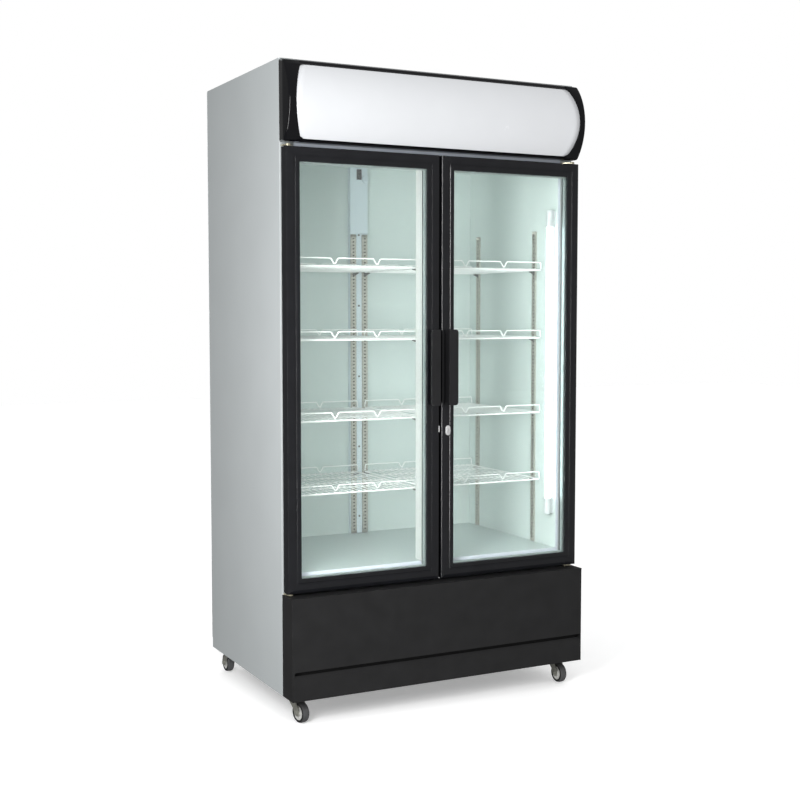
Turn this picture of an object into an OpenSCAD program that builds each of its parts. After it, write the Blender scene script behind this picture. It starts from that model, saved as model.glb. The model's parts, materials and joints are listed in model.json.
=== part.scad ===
// Two-door glass display fridge on castors, front facing -Y, standing on Z = 0.

/* [Cabinet] */
// Overall width of the cabinet
cabinet_w = 1040; // [900:10:1200]
// Overall height from the floor to the top panel
cabinet_h = 1990; // [1900:10:2100]
// Depth of the side panels
panel_d = 650; // [600:10:720]
// Thickness of the insulated side walls
wall_t = 54; // [45:1:65]
// Height of the cabinet's underside above the floor
castor_h = 83; // [80:1:95]
// Height of the machine compartment's front cover
cover_h = 311; // [290:1:330]
// How far the front cover stands ahead of the side panels
cover_reach = 79; // [70:1:90]

/* [Doors] */
// Height of each door
door_h = 1328; // [1200:1:1400]
// Thickness of a door's frame
door_t = 38; // [34:1:42]
// Face width of the door's rails and stiles
rail_w = 44; // [38:1:50]
// Gap between the two doors
door_gap = 9; // [8:0.5:12]
// Distance from a door's outer edge to its hinge pin
pin_inset = 14.5; // [13:0.5:16]
// Thickness of one glass pane
pane_t = 4; // [3:0.5:5]

/* [Handles and lock] */
// Height of a handle
handle_h = 237; // [180:1:280]
// How far a handle stands off its door
handle_reach = 30; // [25:1:34]
// Width of a handle's front flange
handle_w = 32; // [28:1:40]
// Height of a handle's lower end above the floor
handle_z = 954; // [900:1:1000]
// Height of the lock above the floor
lock_z = 873; // [820:1:900]

/* [Shelves] */
// Spacing of the slots in the shelf strips
notch_pitch = 12; // [10:1:13]
// The slot that each shelf hangs in, counted from the floor
shelf_notches = [19, 38, 59, 78]; // [10:1:80]
// Depth of a shelf
shelf_d = 460; // [400:5:465]
// Width of a shelf
shelf_w = 446; // [400:1:446]

/* [Canopy] */
// Height of the lit sign box
canopy_h = 240; // [200:1:250]
// How far the sign box's bulge stands ahead of the side panels
canopy_reach = 80; // [70:1:95]
// Radius of the sign box's front
canopy_r = 175; // [165:1:220]

/* [Castors] */
// Diameter of a castor wheel
wheel_d = 62; // [55:1:63]
// Tread width of a castor wheel
wheel_w = 25; // [20:1:28]
// Trail of the wheel behind its swivel axis
trail = 28; // [20:1:30]
// How far the front left castor stands turned to the right, in degrees
swivel = 12; // [0:1:45]

/* [Hidden] */
$fn = 48;

half_w = cabinet_w / 2;
sheet = 1.2;        // steel sheet
fit_gap = 0.4;      // gap between butted sheets and blocks
run_gap = 0.05;     // radial clearance of a pin in its bore

inner_x = half_w - wall_t;
flange_w = 45;                      // front return of the side panels
cover_z = castor_h + cover_h;       // top of the front cover
door_z = cover_z + 8;
door_top = door_z + door_h;
floor_z = door_z + 54;
header_z = door_top - 40;           // lower edge of the header
ceiling_z = door_top + 22;
foam_z = cover_z + 6;
back_y = panel_d - 78;              // face of the rear inner wall
roof_z = cabinet_h - 54;            // underside of the roof insulation
header_d = 40;

door_edge = half_w - 2.5;           // outer edge of a door
door_w = door_edge - door_gap / 2;
door_back = -7;                     // rear face of the door frame
door_front = door_back - door_t;
pin_x = door_edge - pin_inset;
pin_y = door_back - door_t / 2;
pin_r = 5;
pin_depth = 9;
pocket_u = 31;                      // depth of the glazing channel's floor from the door's edge
glass_y = door_front + 7;           // outer face of the glazing
glass_t = 22;                       // two panes and their spacer
mitre_gap = 0.2;

// Depth positions count from the side panels' front edge, which lies at face_y.
front_reach = max(canopy_reach, cover_reach, handle_reach - door_front);
face_y = front_reach - (panel_d + front_reach) / 2;

handle_t = 4;
handle_x = 15.5;                    // handle wall, from the cabinet's centre
lock_x = door_gap / 2 + 22;
lock_r = 5.5;
cam_y = pin_y;                      // depth of the lock's cam
cam_l = 44;                         // height of the cam's pocket below the lock
cam_hw = 5;                         // half width of the cam
cam_gap = 4;                        // half depth of the cam's pockets

mullion_w = 90;
strip_w = 20;
strip_t = 6;
strip_h = 1060;
post_w = 68;
post_t = 16;
strip_x = 22;                       // strips on the mullion and the post
side_strip_ys = [136, 508];
shelf_x = 11;                       // inner end of a shelf
shelf_y = 80;                       // front edge of a shelf
shelf_zs = [for (n = shelf_notches) floor_z + n * notch_pitch];
lip_h = 22;
wire = 4;

lamp_x = inner_x - 18;
lamp_y = 22;
lamp_z = 622;
lamp_h = 905;

canopy_top = cabinet_h - 2;
canopy_z = canopy_top - canopy_h - 4;
canopy_mid = (canopy_z + canopy_top - 12) / 2;
cap_w = 50;
canopy_skin = 2.5;
sign_half_h = 108;
sign_top = canopy_mid + sign_half_h;
sign_bottom = canopy_mid - sign_half_h;
sign_end_x = half_w - 23;           // reach of the sign's bowed ends at its middle
sign_bow = 27;                      // how far they bow outwards
sign_bow_r = (sign_half_h * sign_half_h + sign_bow * sign_bow) / (2 * sign_bow);
sign_bow_x = sign_end_x - sign_bow_r;

castor_x = 474;
castor_front_y = 10;
castor_rear_y = 590;
plate_t = 2.5;
race_z = castor_h - 9;              // underside of the fixed race
fork_z = race_z - 3.3;              // underside of the fork's crown
axle_r = 4;
axle_z = wheel_d / 2;

fan_x = 150;
fan_z = 215;
fan_r = 110;
fan_y = 112;
shaft_r = 4;
shaft_l = 10;                       // length of a fan's shaft inside its motor
evap_fan_r = 78;
evap_fan_y = 250;
evap_fan_z = (ceiling_z + roof_z) / 2;
back_skin_y = panel_d - sheet;      // inner face of the back panel and the rear grille
gland_x = 440;
gland_z = 170;
gland_r = 12;

// ---- helpers ---------------------------------------------------------------

// A block between two opposite corners.
module block(low, high) {
    translate(low) cube(high - low);
}

// Moves a piece from the face's own depth scale into the cabinet's frame.
module at_face() {
    translate([0, face_y, 0]) children();
}

// The children once as drawn on the right and once mirrored on the left.
module both_sides() {
    children();
    mirror([1, 0, 0]) children();
}

// A prism along X from an outline drawn in (Y, Z).
module prism_x(x, length) {
    translate([x, 0, 0]) rotate([90, 0, 90]) linear_extrude(length) children();
}

// A prism along Y from an outline drawn in (X, Z).
module prism_y(y, length) {
    translate([0, y + length, 0]) rotate([90, 0, 0]) linear_extrude(length) children();
}

module rod_x(x, y, z, r, length) {
    translate([x, y, z]) rotate([0, 90, 0]) cylinder(r = r, h = length);
}

module rod_y(x, y, z, r, length) {
    translate([x, y, z]) rotate([-90, 0, 0]) cylinder(r = r, h = length);
}

module hexagon_bolt(x, y, z, r, length) {
    translate([x, y, z]) cylinder(r = r * 1.9, h = r * 1.2, $fn = 6);
    translate([x, y, z + r * 1.2]) cylinder(r = r, h = length);
}

// ---- cabinet shell ---------------------------------------------------------

// A side panel with a wide front return and a narrow rear one, which the back panel covers.
module side_panel() {
    rear = back_skin_y - fit_gap;
    rear_flange = 18;
    at_face() {
        block([half_w - sheet, 0, castor_h], [half_w, rear, cabinet_h]);
        block([half_w - flange_w, 0, castor_h + 6], [half_w, sheet, cabinet_h]);
        block([half_w - rear_flange, rear - sheet, castor_h], [half_w, rear, cabinet_h - 3]);
    }
}

module side_panel_right() { color("silver") side_panel(); }

module side_panel_left() { color("silver") mirror([1, 0, 0]) side_panel(); }

module back_panel() {
    color("silver") at_face()
        block([-half_w, back_skin_y, cover_z - 6], [half_w, panel_d, cabinet_h - 3]);
}

module top_panel() {
    edge = half_w - sheet - fit_gap;
    color("silver") at_face() {
        block([-edge, 2, cabinet_h - sheet], [edge, panel_d - 4, cabinet_h]);
        block([-edge, 2, cabinet_h - 18], [edge, 2 + sheet, cabinet_h]);
    }
}

module foam_insulation() {
    outer = half_w - sheet - fit_gap;
    inner = inner_x + sheet + fit_gap;
    between = inner - fit_gap;
    rear = panel_d - 4;
    front = 2.2;
    top = cabinet_h - 19;
    header = inner_x - fit_gap;
    color("khaki") at_face() {
        both_sides() block([inner, front, foam_z], [outer, rear, top]);
        block([-between, back_y + sheet + fit_gap, foam_z], [between, rear, roof_z - fit_gap]);
        block([-between, 4, roof_z], [between, rear, top]);
        block([-header, front, header_z + 2], [header, header_d - 1, roof_z - fit_gap]);
        block([-between, front, foam_z], [between, back_y + sheet, floor_z - sheet - fit_gap]);
    }
}

module inner_liner() {
    top = roof_z - fit_gap;
    color("white") at_face() {
        both_sides() block([inner_x, 2, floor_z - sheet], [inner_x + sheet, back_y + sheet, top]);
        block([-inner_x + fit_gap, back_y, floor_z - sheet], [inner_x - fit_gap, back_y + sheet, top]);
    }
}

module ceiling_panel() {
    side = inner_x - fit_gap;
    back = back_y - fit_gap;
    vent_w = 16;
    color("white") at_face() {
        difference() {
            block([-side, header_d, ceiling_z], [side, back, ceiling_z + sheet]);
            for (x = [-400:32:400], y = [70, 500])
                block([x - vent_w / 2, y, ceiling_z - 1], [x + vent_w / 2, y + 45, ceiling_z + 2]);
        }
        block([-side, header_d, header_z], [side, header_d + sheet, ceiling_z + sheet]);
        block([-side, 2, header_z], [side, header_d + sheet, header_z + sheet]);
    }
}

module floor_panel() {
    side = inner_x - fit_gap;
    color("white") at_face()
        block([-side, 2, floor_z - sheet], [side, back_y - fit_gap, floor_z]);
}

module front_frame() {
    outer = half_w - flange_w - fit_gap;
    color("gainsboro") at_face() {
        block([-outer, 0, header_z], [outer, sheet, canopy_top - 20]);
        block([-outer, 0, cover_z + 1], [outer, sheet, floor_z]);
        block([-outer, sheet + fit_gap, cover_z + 1], [outer, panel_d - 6, cover_z + 1 + sheet]);
        both_sides() block([inner_x, 0, floor_z + fit_gap], [outer, sheet, header_z - fit_gap]);
    }
}

module centre_mullion() {
    half = mullion_w / 2;
    low = floor_z + fit_gap;
    high = header_z - fit_gap;
    color("white") at_face() difference() {
        block([-half, 0, low], [half, header_d, high]);
        block([-half + 2, 2, low - 1], [half - 2, header_d - 2, high + 1]);
    }
}

// ---- shelving --------------------------------------------------------------

module back_post() {
    front = back_y - post_t;
    cover_low = floor_z + strip_h + 4;
    color("whitesmoke") at_face() {
        block([-post_w / 2, front, floor_z + fit_gap], [post_w / 2, back_y - fit_gap, ceiling_z - fit_gap]);
        block([-post_w / 2, front - 5, cover_low], [post_w / 2, front, ceiling_z - fit_gap]);
    }
}

// A channel whose open side lies on X = 0 and whose web stands off towards +X.
module strip_profile() {
    skin = 1.5;
    difference() {
        block([0, -strip_w / 2, 0], [strip_t, strip_w / 2, strip_h]);
        block([-1, -strip_w / 2 + skin, -1], [strip_t - skin, strip_w / 2 - skin, strip_h + 1]);
    }
}

module shelf_strips() {
    low = floor_z + 2;
    color("lightgray") at_face() both_sides() {
        for (y = side_strip_ys) translate([inner_x, y, low]) rotate(180) strip_profile();
        translate([strip_x, header_d, low]) rotate(90) strip_profile();
        translate([strip_x, back_y - post_t, low]) rotate(-90) strip_profile();
    }
}

module shelf_clips() {
    clip_w = 12;
    clip_h = 11;
    side = inner_x - strip_t;
    web = back_y - post_t - strip_t;
    color("dimgray") at_face() both_sides() for (z = shelf_zs) {
        top = z - 2 * wire - 0.1;
        for (y = side_strip_ys)
            block([side - 16, y - clip_w / 2, top - clip_h], [side, y + clip_w / 2, top]);
        block([strip_x - clip_w / 2, header_d + strip_t, top - clip_h],
              [strip_x + clip_w / 2, shelf_y + 22, top]);
        block([strip_x - clip_w / 2, web - 34, top - clip_h], [strip_x + clip_w / 2, web, top]);
    }
}

// The lip's outline in (X, Z): three raised runs joined by sloping ends.
module lip_outline() {
    bay = shelf_w / 3;
    slope = 14;
    difference() {
        for (i = [0:2]) translate([i * bay, 0])
            polygon([[0, 0], [slope, lip_h], [bay - slope, lip_h], [bay, 0]]);
        for (i = [0:2]) translate([i * bay, 0])
            polygon([[1.35 * wire, wire], [slope + 0.7 * wire, lip_h - wire],
                     [bay - slope - 0.7 * wire, lip_h - wire], [bay - 1.35 * wire, wire]]);
    }
}

// One wire shelf for the right-hand bay, with its deck's top at height z and a lip at the front and rear.
module shelf(z) {
    bars = 18;
    rows = 3;
    step = (shelf_w - wire) / bars;
    row = (shelf_d - wire) / rows;
    weld_gap = 0.1;
    color("white") at_face() translate([shelf_x, shelf_y, z]) {
        difference() {
            block([0, 0, -wire], [shelf_w, shelf_d, 0]);
            for (i = [0:bars - 1], j = [0:rows - 1])
                translate([wire + i * step, wire + j * row, -wire - 1])
                    cube([step - wire, row - wire, wire + 2]);
        }
        for (y = [0, shelf_d / 2 - wire, shelf_d - wire])
            block([0, y, -2 * wire], [shelf_w, y + wire, -wire]);
        for (y = [0, shelf_d - wire]) translate([0, 0, weld_gap]) prism_y(y, wire) lip_outline();
    }
}

module shelf_right_1() { shelf(shelf_zs[0]); }
module shelf_right_2() { shelf(shelf_zs[1]); }
module shelf_right_3() { shelf(shelf_zs[2]); }
module shelf_right_4() { shelf(shelf_zs[3]); }
module shelf_left_1() { mirror([1, 0, 0]) shelf(shelf_zs[0]); }
module shelf_left_2() { mirror([1, 0, 0]) shelf(shelf_zs[1]); }
module shelf_left_3() { mirror([1, 0, 0]) shelf(shelf_zs[2]); }
module shelf_left_4() { mirror([1, 0, 0]) shelf(shelf_zs[3]); }

module interior_lamp() {
    tube_r = 10;
    cap_r = 12.5;
    cap_h = 54;
    color("ivory") at_face() translate([lamp_x, lamp_y, 0]) {
        translate([0, 0, lamp_z - 1]) cylinder(r = tube_r, h = lamp_h + 2);
        for (z = [lamp_z - cap_h, lamp_z + lamp_h]) translate([0, 0, z]) {
            cylinder(r = cap_r, h = cap_h);
            block([0, -9, 0], [inner_x - lamp_x - fit_gap, 9, cap_h]);
        }
    }
}

// ---- canopy ----------------------------------------------------------------

// Side outline of the sign box in (Y, Z), shrunk by inset.
module canopy_outline(inset = 0) {
    centre = canopy_r - canopy_reach;
    intersection() {
        translate([centre, canopy_mid]) circle(r = canopy_r - inset, $fn = 200);
        polygon([[-canopy_reach - 5, canopy_z + inset], [-inset, canopy_z + inset],
                 [-inset, canopy_top - inset], [-canopy_reach - 5, canopy_top - 20 - inset]]);
    }
}

// Front outline of the lit panel in (X, Z), shrunk by inset.
module sign_outline(inset = 0) {
    intersection() {
        union() {
            for (side = [-1, 1])
                translate([side * sign_bow_x, canopy_mid])
                    circle(r = sign_bow_r - inset, $fn = 200);
            square_between([-sign_bow_x, sign_bottom], [sign_bow_x, sign_top]);
        }
        square_between([-half_w, sign_bottom + inset], [half_w, sign_top - inset]);
    }
}

module square_between(low, high) {
    translate(low) square(high - low);
}

module canopy_end_caps() {
    shell = 4;
    color("black") at_face() both_sides() difference() {
        prism_x(half_w - cap_w, cap_w) canopy_outline();
        prism_x(half_w - cap_w - 1, cap_w + 1 - shell) canopy_outline(shell);
        prism_y(-canopy_reach - 10, canopy_reach + 4) sign_outline();
    }
}

// The long mouldings above and below the sign, which run back to the cabinet.
module canopy_rails() {
    length = 2 * (half_w - cap_w - fit_gap);
    color("black") at_face() prism_x(-length / 2, length) difference() {
        canopy_outline();
        canopy_outline(canopy_skin);
        square_between([-canopy_reach - 6, sign_bottom], [1, sign_top]);
    }
}

module canopy_diffuser() {
    pane = 3;
    recess = 0.5;
    color("white") at_face() intersection() {
        difference() {
            prism_x(-half_w + 2, 2 * half_w - 4) canopy_outline(recess);
            prism_x(-half_w, 2 * half_w) canopy_outline(recess + pane);
        }
        prism_y(-canopy_reach - 10, 60) sign_outline(0.3);
    }
}

// The channel inside the sign box that carries its lamps.
module canopy_tray() {
    length = 2 * (half_w - cap_w - 2);
    front = -36;
    low = sign_bottom + fit_gap;
    high = sign_top - fit_gap;
    color("black") at_face() prism_x(-length / 2, length) {
        square_between([front, low], [0, low + sheet]);
        square_between([-sheet, low], [0, high]);
        square_between([front, high - sheet], [0, high]);
    }
}

module canopy_lamps() {
    length = 2 * half_w - 200;
    color("ivory") at_face() for (z = [canopy_mid - 45, canopy_mid + 45]) {
        rod_x(-length / 2, -36, z, 13, length);
        both_sides() block([length / 2 + 0.5, -48, z - 14], [length / 2 + 16, -sheet, z + 14]);
    }
}

// ---- base ------------------------------------------------------------------

module base_cover() {
    slot_low = castor_h + 78;
    slot_high = slot_low + 11;
    bevel = 8;
    skin = 1.5;
    louvre_pitch = 22;
    louvres = 12;
    color("#222222") at_face() {
        difference() {
            block([-half_w, -cover_reach, castor_h], [half_w, -fit_gap, cover_z]);
            block([-half_w + skin, -cover_reach + skin, castor_h - 1],
                  [half_w - 2.5 - skin, 0, cover_z - skin]);
            block([half_w - 2.5, -cover_reach + 7, castor_h + 12], [half_w + 1, -8, cover_z - 12]);
            block([-half_w + 2, -cover_reach - 1, slot_low],
                  [half_w + 1, -cover_reach + skin + 0.1, slot_high]);
            prism_x(-half_w + 2, 2 * half_w)
                polygon([[-cover_reach - 1, slot_low + 1], [-cover_reach, slot_low - bevel],
                         [-cover_reach + 1.4, slot_low + 1]]);
        }
        for (i = [0:louvres - 1]) translate([0, 0, castor_h + 22 + i * louvre_pitch])
            prism_y(-cover_reach + 12, cover_reach - 26)
                polygon([[half_w - 3, 0], [half_w - 0.2, 3], [half_w - 0.2, 5], [half_w - 3, 16]]);
    }
}

module base_tray() {
    side = half_w - sheet - fit_gap;
    front = -cover_reach + 4;
    rear = panel_d - 3;
    rail = 2;
    color("darkgray") at_face() {
        block([-side, 2, castor_h], [side, rear, castor_h + rail]);
        block([-side + 4, front, castor_h], [side - 8, 2, castor_h + rail]);
        block([-side + 4, front, castor_h], [side - 8, front + rail, castor_h + 30]);
        both_sides() block([side - rail, 3, castor_h], [side, rear, castor_h + 30]);
    }
}

module rear_grille() {
    low = castor_h + 34;
    high = cover_z - 8;
    slot_w = 120;
    slot_h = 8;
    slot_pitch = 22;
    color("darkgray") at_face() difference() {
        block([-half_w, back_skin_y, low], [half_w, panel_d, high]);
        for (x = [-410:140:290], z = [low + 30:slot_pitch:high - 35])
            block([x, back_skin_y - 1, z], [x + slot_w, panel_d + 1, z + slot_h]);
        rod_y(gland_x, back_skin_y - 1, gland_z, gland_r + 0.1, sheet + 2);
    }
}

// The cord's gland: a bushing through the rear grille with a collar inside it.
module mains_inlet() {
    inside = 16;
    collar = 6;
    bore_r = 5;
    color("#222222") at_face() difference() {
        union() {
            rod_y(gland_x, back_skin_y - inside, gland_z, gland_r, inside + sheet);
            rod_y(gland_x, back_skin_y - collar, gland_z, gland_r + 5, collar - 0.1);
        }
        rod_y(gland_x, back_skin_y - inside - 1, gland_z, bore_r, inside + sheet + 2);
    }
}

// Hinge plate outline in plan, drawn for the right-hand side.
module hinge_outline() {
    nose = 8;
    polygon([[pin_x - 26, 0], [pin_x - 24, -6], [pin_x - nose, pin_y], [pin_x + nose, pin_y],
             [half_w - 3, -6], [half_w - 3, 0]]);
    translate([pin_x, pin_y]) circle(r = nose);
}

module hinge_plates() {
    plate = 3;
    head = 1.5;
    for (top = [false, true]) {
        plate_z = top ? door_top + 3.5 : door_z - 3.5 - plate;
        pin_z = top ? door_top - pin_depth : plate_z + plate / 2;
        pin_end = top ? plate_z + plate / 2 : door_z + pin_depth;
        head_z = top ? plate_z + plate : plate_z - head + 0.1;
        color("goldenrod") at_face() both_sides() {
            translate([0, 0, plate_z]) linear_extrude(plate) hinge_outline();
            translate([pin_x, pin_y, pin_z]) cylinder(r = pin_r, h = pin_end - pin_z);
            if (top) translate([pin_x, pin_y, head_z]) cylinder(r = 7, h = head);
            washer_z = top ? door_top + 0.4 : plate_z + plate;
            translate([pin_x, pin_y, washer_z]) cylinder(r = 8, h = 3.1);
        }
    }
}

// ---- refrigeration ---------------------------------------------------------

module compressor() {
    body_r = 88;
    color("#1c1c1c") at_face() translate([-120, 400, castor_h + 2]) {
        translate([0, 0, 24]) rotate_extrude()
            polygon([[0, 0], [body_r - 22, 0], [body_r - 6, 12], [body_r, 30], [body_r, 88],
                     [body_r + 5, 90], [body_r + 5, 98], [body_r, 100], [body_r - 2, 140],
                     [body_r - 18, 172], [body_r - 50, 186], [0, 190]]);
        block([-100, -70, 16], [100, 70, 25]);
        for (x = [-86, 86], y = [-56, 56]) translate([x, y, 0]) cylinder(r = 12, h = 16.5);
        block([body_r - 10, -34, 60], [body_r + 34, 34, 140]);
    }
}

module condenser() {
    fins = 46;
    fin_pitch = 8;
    coil_h = 228;
    color("#303030") at_face() translate([fan_x - fins * fin_pitch / 2, 20, castor_h + 14]) {
        for (i = [0:fins]) translate([i * fin_pitch, 0, 0]) cube([1, 66, coil_h]);
        for (row = [0:5], column = [0:1])
            rod_x(-12, 18 + column * 30, 24 + row * 36, 5, fins * fin_pitch + 25);
        for (x = [-12, fins * fin_pitch + 9]) translate([x, 0, -12]) cube([4, 66, coil_h + 16]);
    }
}

// A ring plate with a motor on three arms, drawn about the origin and facing -Y.
module fan_frame(r, side_w, side_h, motor_y) {
    difference() {
        block([-side_w / 2, 0, -side_h / 2], [side_w / 2, 2, side_h / 2]);
        rod_y(0, -1, 0, r + 6, 4);
    }
    difference() {
        rod_y(0, 0, 0, r + 8, 26);
        rod_y(0, -1, 0, r + 6, 30);
    }
    difference() {
        rod_y(0, motor_y, 0, 32, 40);
        rod_y(0, motor_y - 1, 0, shaft_r + run_gap, shaft_l + 1.5);
    }
    for (a = [30, 150, 270]) rotate([0, a, 0]) {
        block([shaft_r + 6, motor_y + 8, -5], [r + 12, motor_y + 11, 5]);
        block([r + 7.5, 2, -5], [r + 12, motor_y + 11, 5]);
    }
}

// A five-blade axial rotor on the Y axis, centred on the origin, whose shaft runs in a motor at motor_y.
module fan_rotor(r, depth, motor_y) {
    hub_r = 24;
    rod_y(0, -depth / 2, 0, hub_r, depth);
    rod_y(0, 0, 0, shaft_r, motor_y + shaft_l);
    intersection() {
        rod_y(0, -depth / 2 - 2, 0, r, depth + 4);
        for (i = [0:4]) rotate([0, i * 72, 0])
            translate([0, 0, hub_r - 3]) rotate([0, 0, 28]) block([-r * 0.3, -1, 0], [r * 0.3, 1, r]);
    }
}

module condenser_fan_frame() {
    color("#404040") at_face() translate([fan_x, fan_y - 18, fan_z])
        fan_frame(fan_r, 372, 236, 38);
}

module condenser_fan_blade() {
    color("dimgray") at_face() translate([fan_x, fan_y, fan_z]) fan_rotor(fan_r, 26, 20);
}

module drip_tray() {
    color("#303030") at_face() translate([-440, 180, castor_h + 2]) difference() {
        cube([200, 330, 42]);
        translate([2, 2, 2]) cube([196, 326, 42]);
    }
}

module evaporator() {
    fins = 60;
    fin_pitch = 9;
    coil_h = 120;
    color("silver") at_face() translate([-fins * fin_pitch / 2, 340, ceiling_z + 24]) {
        for (i = [0:fins]) translate([i * fin_pitch, 0, 0]) cube([1, 110, coil_h]);
        for (row = [0:2], column = [0:2])
            rod_x(-12, 19 + column * 36, 24 + row * 36, 5, fins * fin_pitch + 25);
        for (x = [-12, fins * fin_pitch + 9])
            translate([x, 0, sheet - 24]) cube([4, 110, coil_h + 26 - sheet]);
    }
}

module evaporator_fan_frame() {
    color("#404040") at_face() translate([0, evap_fan_y - 14, evap_fan_z])
        fan_frame(evap_fan_r, 900, 180, 36);
}

module evaporator_fan_blade() {
    color("dimgray") at_face() translate([0, evap_fan_y, evap_fan_z]) fan_rotor(evap_fan_r, 22, 22);
}

// ---- doors -----------------------------------------------------------------

// Section of the door frame: u runs inwards from the door's edge, y as on the cabinet.
module frame_section() {
    polygon([[0, door_back], [0, door_front + 2], [2, door_front], [25, door_front],
             [26.5, door_front + 1.8], [29.5, door_front + 1.8], [31, door_front + 0.4],
             [rail_w - 2, door_front + 0.4], [rail_w, door_front + 2.4], [rail_w, glass_y - 0.3],
             [pocket_u, glass_y - 0.3], [pocket_u, glass_y + glass_t + 0.3],
             [rail_w, glass_y + glass_t + 0.3], [rail_w, door_back - 1.5], [rail_w - 1.5, door_back]]);
}

// A mitred bar of the given length along +Z, with its outer edge on X = 0 and its inside towards +X.
module mitred_bar(length) {
    big = 90;
    difference() {
        linear_extrude(length) frame_section();
        translate([0, 0, mitre_gap / 2]) rotate([0, -45, 0]) block([-big, -big, -big], [big * 2, big, 0]);
        translate([0, 0, length - mitre_gap / 2]) rotate([0, 45, 0])
            block([-big, -big, 0], [big * 2, big, big]);
    }
}

// The four bars of a door, drawn for the left-hand door's place.
module door_bars() {
    translate([-door_edge, 0, door_z]) mitred_bar(door_h);
    translate([-door_edge + door_w, 0, door_z]) mirror([1, 0, 0]) mitred_bar(door_h);
    translate([-door_edge, 0, door_z]) mirror([1, 0, -1]) mitred_bar(door_w);
    translate([-door_edge, 0, door_top]) mirror([0, 0, 1]) mirror([1, 0, -1]) mitred_bar(door_w);
}

module door_frame() {
    difference() {
        door_bars();
        translate([-pin_x, pin_y, door_z - 1]) cylinder(r = pin_r + run_gap, h = pin_depth + 1.4);
        translate([-pin_x, pin_y, door_top - pin_depth - 0.4])
            cylinder(r = pin_r + run_gap, h = pin_depth + 2);
    }
}

// The left door's frame; its inner stile is parted round the strike pocket by hairline joints.
module door_frame_left() {
    low = lock_z - 36;
    high = lock_z + cam_hw + 3;
    outside = -door_gap / 2 - pocket_u - 1;
    joint = 0.1;
    color("#202020") at_face() difference() {
        door_frame();
        block([outside, cam_y - cam_gap, low], [1, cam_y + cam_gap, high]);
        for (z = [low, high])
            block([-door_gap / 2 - rail_w - 1, door_front - 1, z - joint / 2],
                  [1, door_back + 1, z + joint / 2]);
    }
}

module door_frame_right() {
    color("#202020") at_face() difference() {
        mirror([1, 0, 0]) door_frame();
        rod_y(lock_x, door_front - 1, lock_z, lock_r + run_gap, door_t + 2);
        block([0, cam_y - cam_gap, lock_z - cam_l - 2],
              [lock_x + 7.2, cam_y + cam_gap, lock_z + cam_hw + 3]);
    }
}

// Two panes with a spacer frame between them, drawn for the left-hand door's place.
module glazing() {
    x_low = -door_edge + pocket_u + 1;
    x_high = -door_edge + door_w - pocket_u - 1;
    z_low = door_z + pocket_u + 1;
    z_high = door_top - pocket_u - 1;
    bar = 15;
    gap_low = glass_y + pane_t + 0.1;
    gap_high = glass_y + glass_t - pane_t - 0.1;
    for (y = [glass_y, glass_y + glass_t - pane_t])
        block([x_low, y, z_low], [x_high, y + pane_t, z_high]);
    for (x = [x_low, x_high - bar])
        block([x, gap_low, z_low + bar + fit_gap], [x + bar, gap_high, z_high - bar - fit_gap]);
    for (z = [z_low, z_high - bar])
        block([x_low, gap_low, z], [x_high, gap_high, z + bar]);
}

// The magnetic seal behind a door, as four strips.
module gasket() {
    u_low = 16;
    u_high = 34;
    x_low = -door_edge + u_low;
    x_high = -door_edge + door_w - u_low;
    z_low = door_z + u_low;
    z_high = door_top - u_low;
    strip = u_high - u_low;
    front = door_back + 0.05;
    back = -0.4;
    for (x = [x_low, x_high - strip])
        block([x, front, z_low + strip + fit_gap], [x + strip, back, z_high - strip - fit_gap]);
    for (z = [z_low, z_high - strip])
        block([x_low, front, z], [x_high, back, z + strip]);
}

// Handle outline as seen from the front: square at the wall, rounded at the free corners.
module handle_outline() {
    corner = 10;
    difference() {
        square_between([handle_x, handle_z], [handle_x + handle_w, handle_z + handle_h]);
        for (z = [handle_z, handle_z + handle_h]) {
            turn = z == handle_z ? corner : -corner;
            difference() {
                square_between([handle_x + handle_w - corner, min(z, z + turn)],
                               [handle_x + handle_w + 1, max(z, z + turn)]);
                translate([handle_x + handle_w - corner, z + turn]) circle(r = corner);
            }
        }
    }
}

// The right-hand handle: an angle whose flange covers the fingers.
module handle() {
    front = door_front - handle_reach;
    prism_y(front, handle_t) handle_outline();
    block([handle_x, front + handle_t, handle_z], [handle_x + handle_t, door_front, handle_z + handle_h]);
}

module door_glass_left() { color("lightcyan", 0.4) at_face() glazing(); }
module door_glass_right() { color("lightcyan", 0.4) at_face() mirror([1, 0, 0]) glazing(); }
module door_gasket_left() { color("#303030") at_face() gasket(); }
module door_gasket_right() { color("#303030") at_face() mirror([1, 0, 0]) gasket(); }
module door_handle_left() { color("#202020") at_face() mirror([1, 0, 0]) handle(); }
module door_handle_right() { color("#202020") at_face() handle(); }

module lock_housing() {
    plate_r = 8.2;
    collar_r = 7.3;
    straight = 15;
    front = door_front - 3;
    color("silver") at_face() difference() {
        union() {
            prism_y(front, 3) {
                translate([lock_x, lock_z]) {
                    square([2 * plate_r, straight], center = true);
                    for (z = [-straight / 2, straight / 2]) translate([0, z]) circle(r = plate_r);
                }
            }
            rod_y(lock_x, front - 3, lock_z, collar_r, 3.5);
        }
        rod_y(lock_x, front - 5, lock_z, lock_r + run_gap, 12);
    }
}

module lock_barrel() {
    front = door_front - 6.5;
    color("silver") at_face() {
        difference() {
            rod_y(lock_x, front, lock_z, lock_r, cam_y + 8 - front);
            block([lock_x - 0.8, front - 1, lock_z - 3.5], [lock_x + 0.8, front + 4, lock_z + 3.5]);
        }
        difference() {
            union() {
                rod_y(lock_x, cam_y - 2, lock_z, 6.5, 4);
                block([lock_x - cam_hw, cam_y - 2, lock_z - cam_l + 2],
                      [lock_x + cam_hw, cam_y + 2, lock_z]);
            }
            rod_y(lock_x, cam_y - 3, lock_z, lock_r - 1, 6);
        }
    }
}

// ---- castors ---------------------------------------------------------------

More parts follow.
